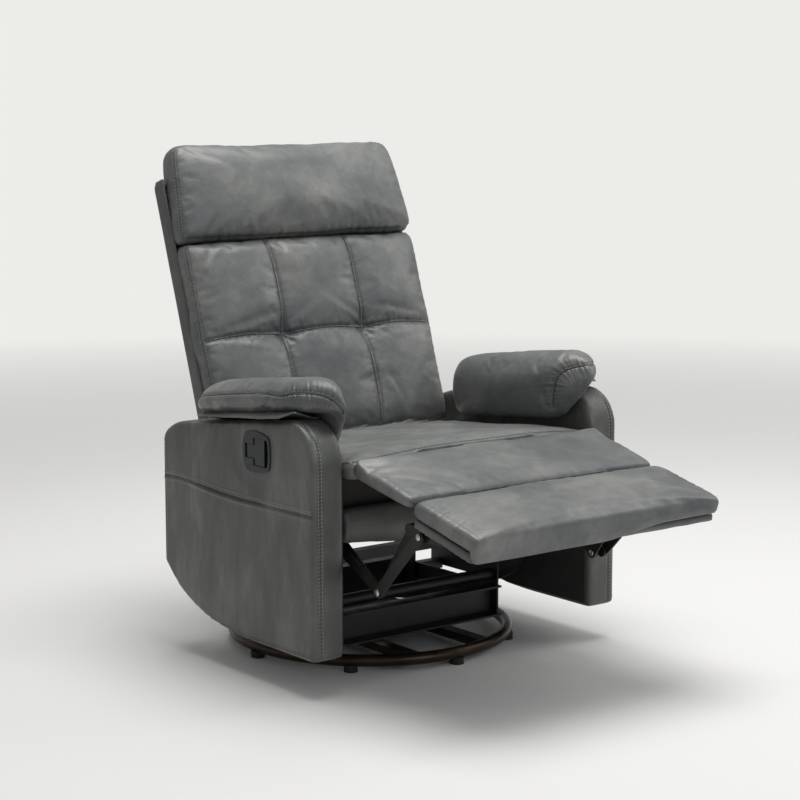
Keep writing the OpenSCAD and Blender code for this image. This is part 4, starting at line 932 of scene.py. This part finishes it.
for name, look in cushionLooks.items():
    piece = cushions[name]
    crease = dressCushion(piece, look)
    finishPiece(piece, cushionLeather, look["body"], look["node"], crease)
    if "folds" in look:
        foldAlong(look["title"] + "FoldedSeams", seamRows(piece, look, look["folds"]), cushionLeather,
            look["body"])
    if "stitches" in look:
        sewOn(look["title"] + "Stitches", seamRows(piece, look, look["stitches"], look["stitch"]),
            look["thread"], look["body"])

for way, sideName in sides:
    pillow = pillows[sideName]
    look = pillowLooks[sideName]
    laid = layOn(surfaceOf(pillow), look["lines"]["gathered"])
    crease = dressCushion(pillow, look)
    finishPiece(pillow, cushionLeather, "carriage", "arm_pillow_" + sideName, crease)
    tree = surfaceOf(pillow)
    foldAlong("armPillowFold" + sideName.title(), [(tree, *laid, -way, look["foldSize"])],
        cushionLeather, "carriage")
    sewOn("armPillowStitches" + sideName.title(), [(tree, *laid, offset * way, singleStitch)
        for offset in look["stitchOffsets"]], midThread, "carriage")
print("cushions dressed")

# Arms
armLook = {
    "cell": 6.0, "smoothing": 8, "outer": 387.0, "seamX": 388, "puff": 2.4, "lumps": (0.7, 150, 63),
    "front": (-330, -230), "rear": (90, 185), "low": (80, 190), "high": (400, 500),
    "boxing": {"depth": 1.8, "width": 3.6, "roll": 0.7, "shade": 0.4},
    "pocket": {"depth": 2.6, "width": 3.4, "roll": 1.4, "shade": 0.5},
    "slit": {"depth": 4.2, "width": 3.2, "roll": 1.8, "shade": 1.0},
}
armSeams = {
    "edge": ("boxing", [(368, -333, 86), (369, -333, 300), (370, -333, 440), (370, -329, 470),
        (370, -316, 498), (370, -295, 515), (370, -258, 524), (370, -60, 500), (370, 84, 481),
        (370, 130, 476), (370, 168, 462), (370, 188, 440), (370, 190, 400), (370, 190, 300),
        (370, 190, 190)]),
    "rocker": ("boxing", [(183, 425), (183, 300), (182, 190), (172, 163), (120, 123), (40, 96), (-50, 85),
        (-140, 81), (-325, 84)]),
    "pocket": ("pocket", [(184, 360), (130, 364), (78, 362), (-22, 355), (-100, 353), (-168, 354),
        (-326, 355)]),
    "slit": ("slit", [(80, 362), (30, 358), (-22, 355), (-100, 353), (-168, 354)]),
}  # a point of two numbers lies on the outer face
latchLook = {"y": -152, "z": 453, "long": 82.2, "high": 72.2, "start": -400, "deep": 0.0375,
    "calm": (52, 90)}
cupShares = [(-0.5, 0.28), (-0.36, 0.44), (0.02, 0.5), (0.34, 0.47), (0.46, 0.3), (0.5, 0), (0.46, -0.3),
    (0.34, -0.47), (0.02, -0.5), (-0.36, -0.44), (-0.5, -0.28)]


def cutLatchHole(arm, crease):
    # the hole for the latch cup, cut with the cup's own outline
    bm = bmesh.new()
    ring = [bm.verts.new(at(latchLook["start"], latchLook["y"] + y * latchLook["long"],
        latchLook["z"] + z * latchLook["high"])) for y, z in cupShares]
    tube = bmesh.ops.extrude_face_region(bm, geom=[bm.faces.new(ring)])
    bmesh.ops.translate(bm, verts=[v for v in tube["geom"] if isinstance(v, bmesh.types.BMVert)],
        vec=(latchLook["deep"], 0, 0))
    bmesh.ops.recalc_face_normals(bm, faces=bm.faces)
    cutter = newPiece("cupHole", bm)
    cut = arm.modifiers.new("cupHole", "BOOLEAN")
    cut.operation = "DIFFERENCE"
    cut.object = cutter
    cut.solver = "EXACT"
    writeCreaseShade(arm.data, crease)
    takeMesh(arm)
    bpy.data.objects.remove(cutter)
    kept = np.zeros(len(arm.data.vertices))
    arm.data.attributes["crease"].data.foreach_get("value", kept)
    return kept


for way, sideName in sides:
    arm = foamCopy("arm" + sideName.title(), "arm_left", armLook, mirrored=way < 0)
    smoothSkin(arm)
    points = meshPoints(arm)
    outward = meshNormals(arm)
    crease = np.zeros(len(points))
    outerFace = smoothStep(points[:, 0] * way, armLook["outer"] - 3, armLook["outer"] - 0.5)
    fromLatch = np.hypot(points[:, 1] - latchLook["y"], points[:, 2] - latchLook["z"])
    calm = smoothStep(fromLatch, *latchLook["calm"]) if way < 0 else np.ones(len(points))
    plump = smoothStep(points[:, 1], *armLook["front"]) * (1 - smoothStep(points[:, 1], *armLook["rear"]))
    plump *= smoothStep(points[:, 2], *armLook["low"]) * (1 - smoothStep(points[:, 2], *armLook["high"]))
    height, size, seed = armLook["lumps"]
    points[:, 0] += way * outerFace * calm * (armLook["puff"] * plump
        + swellNoise(points, height, size, seed + way))
    tree = surfaceOf(arm)
    laidSeams = {}
    for lineName, (seamName, line) in armSeams.items():
        placed = [(way * p[0], *p[1:]) if len(p) == 3 else (way * armLook["seamX"], *p) for p in line]
        laidSeams[lineName] = layOn(tree, placed)
        seam = {**armLook[seamName], "rollSide": -way if seamName == "boxing" else way}
        pressSeam(points, outward, crease, *laidSeams[lineName], seam)
    movePoints(arm, points)
    if way < 0:
        crease = cutLatchHole(arm, crease)
    finishPiece(arm, shadedArmLeather, "carriage", "arm_" + sideName, crease)
    tree = surfaceOf(arm)
    sewOn("armStitches" + sideName.title(), [(tree, *laidSeams[lineName], offset, singleStitch)
        for lineName, offset in (("edge", 3.6), ("edge", -3.6), ("rocker", 4.0 * way), ("pocket", 4.5),
            ("pocket", 9.0))], paleThread, "carriage")
print("arms covered")


# Flaps under the pillows
flapLook = {"cell": 2.0, "smoothing": 2, "wave": 0.7, "waveMm": 23, "beyond": (380, 400),
    "stitchOffsets": (3, 7)}
flapHem = [(388, 50, 502), (396, -60, 507), (399, -130, 514), (401, -240, 529), (390, -257, 538),
    (378, -267, 545)]
for way, sideName in sides:
    flap = foamCopy("pillowFlap" + sideName.title(), "pillow_flap_" + sideName, flapLook)
    points = meshPoints(flap)
    beyond = smoothStep(points[:, 0] * way, *flapLook["beyond"])
    points[:, 2] += flapLook["wave"] * beyond * np.sin(points[:, 1] / flapLook["waveMm"])
    movePoints(flap, points)
    finishPiece(flap, shadedPanelLeather, "carriage", "pillow_flap_" + sideName)
    tree = surfaceOf(flap)
    laid = layOn(tree, [(way * x, y, z) for x, y, z in flapHem])
    sewOn("flapStitches" + sideName.title(), [(tree, *laid, offset * way, singleStitch)
        for offset in flapLook["stitchOffsets"]], paleThread, "carriage")

# Leg board, wrapped and stapled: a second soft roll under the pad
boardLook = {"cell": 4.0, "smoothing": 3, "lower": (12, 18), "lumps": (0.5, 60, 71)}
board = foamCopy("legBoard", "leg_board", boardLook)
points = meshPoints(board)
lower = smoothStep(-inFrame(points, legAxes)[2], *boardLook["lower"])
points += meshNormals(board) * (lower * swellNoise(points, *boardLook["lumps"]))[:, None]
movePoints(board, points)
finishPiece(board, shadedPanelLeather, "leg_rest", "leg_board")

# Panel under the seat's front edge, whose lumps are long and low
frontLook = {"cell": 6.0, "smoothing": 8, "face": (300, 320), "lumps": (1.3, 90, 75),
    "squash": (0.6, 1, 2.0)}
frontPanel = foamCopy("frontRailPanel", "front_rail_panel", frontLook)
points = meshPoints(frontPanel)
sag = swellNoise(points * np.array(frontLook["squash"]), *frontLook["lumps"])
points += meshNormals(frontPanel) * (smoothStep(-points[:, 1], *frontLook["face"]) * sag)[:, None]
movePoints(frontPanel, points)
smoothSkin(frontPanel)
finishPiece(frontPanel, shadedPanelLeather, "carriage", "front_rail_panel")

# Rear panel of the back, which bulges in the middle and whose front rim meets the boxing
shellLook = {"cell": 4.0, "smoothing": 3, "rear": (46, 54), "bulge": 2.5, "half": 290,
    "foot": (20, 120), "head": (480, 575), "lumps": (0.8, 170, 81), "forward": 9.0, "rim": (2, 22),
    "edge": {"depth": 1.8, "width": 4.0, "roll": 0.7, "shade": 0.4, "rollSide": 1}}
shell = foamCopy("backShell", "back_shell", shellLook)
rearAxes = {**backAxes, "w": -backAxes["w"]}
shellSeam = [(-284, 24), (-284, 300), (-284, 552), (-272, 565), (0, 566), (272, 565), (284, 552),
    (284, 300), (284, 24)]
points = meshPoints(shell)
outward = meshNormals(shell)
crease = np.zeros(len(points))
u, v, w = inFrame(points, rearAxes)
bulge = shellLook["bulge"] * np.clip(1 - (u / shellLook["half"]) ** 4, 0, 1)
bulge *= smoothStep(v, *shellLook["foot"]) * (1 - smoothStep(v, *shellLook["head"]))
swell = smoothStep(w, *shellLook["rear"]) * (bulge + swellNoise(points, *shellLook["lumps"]))
points += outward * swell[:, None]
rim = 1 - smoothStep(w, *(w.min() + np.array(shellLook["rim"])))
points -= np.outer(shellLook["forward"] * rim, rearAxes["w"])
laid = layOn(surfaceOf(shell), shellSeam, rearAxes)
pressSeam(points, outward, crease, *laid, shellLook["edge"])
movePoints(shell, points)
finishPiece(shell, shadedPanelLeather, "back", "back_shell", crease)
tree = surfaceOf(shell)
sewOn("shellStitches", [(tree, *laid, offset, singleStitch) for offset in (4, -4)], midThread, "back")
print("panels covered")

# Base ring, bent from one tube
ringLook = {"outer": 299.0, "tube": 12.5, "height": 22.5, "around": 128, "section": 24}
bm = bmesh.new()
bmesh.ops.create_circle(bm, cap_ends=False, radius=ringLook["tube"] / 1000, segments=ringLook["section"],
    matrix=Matrix.Translation(at(ringLook["outer"] - ringLook["tube"], 0, ringLook["height"]))
    @ Matrix.Rotation(math.radians(90), 4, "X"))
bmesh.ops.spin(bm, geom=bm.verts[:] + bm.edges[:], cent=at(0, 0, ringLook["height"]), axis=(0, 0, 1),
    angle=math.radians(360), steps=ringLook["around"], use_merge=True)
bmesh.ops.remove_doubles(bm, verts=bm.verts, dist=1e-6)
bmesh.ops.recalc_face_normals(bm, faces=bm.faces)
ring = newPiece("baseRing", bm, bronzePaint, "base")
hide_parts("base_ring")


# Domed rivet heads on the linkage, bright against the black steel
rivetDome = 0.0022


def rivetHeads(name, places, body):
    bm = bmesh.new()
    for x, y, z, size in places:
        dome = Matrix.Diagonal((rivetDome, size / 1000, size / 1000, 1))
        for way in (1, -1):
            bmesh.ops.create_uvsphere(bm, u_segments=14, v_segments=8, radius=1,
                matrix=Matrix.Translation(at(way * x, y, z)) @ dome)
    newPiece(name, bm, zincPlate, body)


rivetHeads("crankRivets", [(272, -257.3, 292.2, 7), (271.5, -389.0, 207.3, 1.5)], "inner_cranks")
rivetHeads("innerRodRivets", [(266.6, -389.0, 207.3, 7)], "inner_rods")
rivetHeads("outerCrankRivets", [(285.2, -229.7, 298.5, 7)], "outer_cranks")
rivetHeads("outerRodRivets", [(291, -402.8, 210.5, 7)], "outer_rods")
rivetHeads("legBracketRivets", [(266.4, -484.3, 343.9, 7), (291.4, -525.8, 337.7, 7), (277, -545, 352, 5),
    (277, -575, 343, 5), (277, -505, 352, 5)], "leg_rest")
rivetHeads("plateRivets", [(277, -180, 330, 6), (277, -60, 330, 6), (277, 60, 260, 6), (277, -230, 270, 6),
    (277, -180, 292, 5), (277, -120, 262, 5), (277, -20, 262, 5)], "carriage")
print("hardware placed")

# Floor, backdrop and lights. The floor fades into the backdrop between near and far, in metres
studioLook = {"floor": "#dfdedb", "backdrop": "#ecece9", "half": 30.0, "near": 2.2, "far": 5.5,
    "room": 0.42, "roomColor": "#f2f3f5", "aim": (0, 0, 0.45)}
floorMaterial, floorTree, floorPlace = newMaterial("paleStudioFloor")
floorReach = addNode(floorTree, "ShaderNodeVectorMath", {"operation": "LENGTH"}, {0: floorPlace})
floorFade = addNode(floorTree, "ShaderNodeMapRange", {"From Min": studioLook["near"],
    "From Max": studioLook["far"]}, {"Value": floorReach.outputs["Value"]})
floorRays = addNode(floorTree, "ShaderNodeLightPath")
floorSeen = addNode(floorTree, "ShaderNodeMath", {"operation": "MULTIPLY"},
    {0: floorFade.outputs[0], 1: floorRays.outputs["Is Camera Ray"]})
floorSkin = addNode(floorTree, "ShaderNodeBsdfPrincipled", {"Roughness": 0.75, "Specular IOR Level": 0.2,
    "Base Color": linearColor(studioLook["floor"])})
floorGlow = addNode(floorTree, "ShaderNodeEmission", {"Color": linearColor(studioLook["backdrop"])})
floorMix = addNode(floorTree, "ShaderNodeMixShader", links={0: floorSeen.outputs[0],
    1: floorSkin.outputs[0], 2: floorGlow.outputs[0]})
addNode(floorTree, "ShaderNodeOutputMaterial", links={"Surface": floorMix.outputs[0]})
bm = bmesh.new()
bmesh.ops.create_grid(bm, x_segments=1, y_segments=1, size=studioLook["half"])
floor = newPiece("studioFloor", bm, floorMaterial)

world = bpy.data.worlds.new("softRoom")
world.use_nodes = True
world.node_tree.nodes.clear()
rays = addNode(world.node_tree, "ShaderNodeLightPath")
seen = addNode(world.node_tree, "ShaderNodeMath", {"operation": "MAXIMUM"},
    {0: rays.outputs["Is Camera Ray"], 1: rays.outputs["Is Transmission Ray"]})
roomLight = addNode(world.node_tree, "ShaderNodeBackground", {"Strength": studioLook["room"],
    "Color": linearColor(studioLook["roomColor"])})
roomSeen = addNode(world.node_tree, "ShaderNodeBackground", {"Color": linearColor(studioLook["backdrop"])})
roomMix = addNode(world.node_tree, "ShaderNodeMixShader", links={0: seen.outputs[0],
    1: roomLight.outputs[0], 2: roomSeen.outputs[0]})
addNode(world.node_tree, "ShaderNodeOutputWorld", links={"Surface": roomMix.outputs[0]})
scene.world = world

lampLooks = {
    "windowKey": {"place": (3.0, -1.0, 2.7), "size": 2.4, "watts": 34, "color": "#ffffff"},
    "frontFill": {"place": (0.4, -4.0, 1.7), "size": 2.4, "watts": 26, "color": "#f4f6ff"},
    "topSoft": {"place": (0.2, 0.1, 3.7), "size": 2.4, "watts": 118, "color": "#ffffff"},
}
for lampName, look in lampLooks.items():
    lampData = bpy.data.lights.new(lampName, "AREA")
    lampData.size = look["size"]
    lampData.energy = look["watts"]
    lampData.color = linearColor(look["color"])[:3]
    lamp = bpy.data.objects.new(lampName, lampData)
    lamp.location = look["place"]
    aim = Vector(studioLook["aim"]) - Vector(look["place"])
    lamp.rotation_euler = aim.to_track_quat("-Z", "Y").to_euler()
    scene.collection.objects.link(lamp)
scene.view_settings.view_transform = "Standard"
print("studio lit")
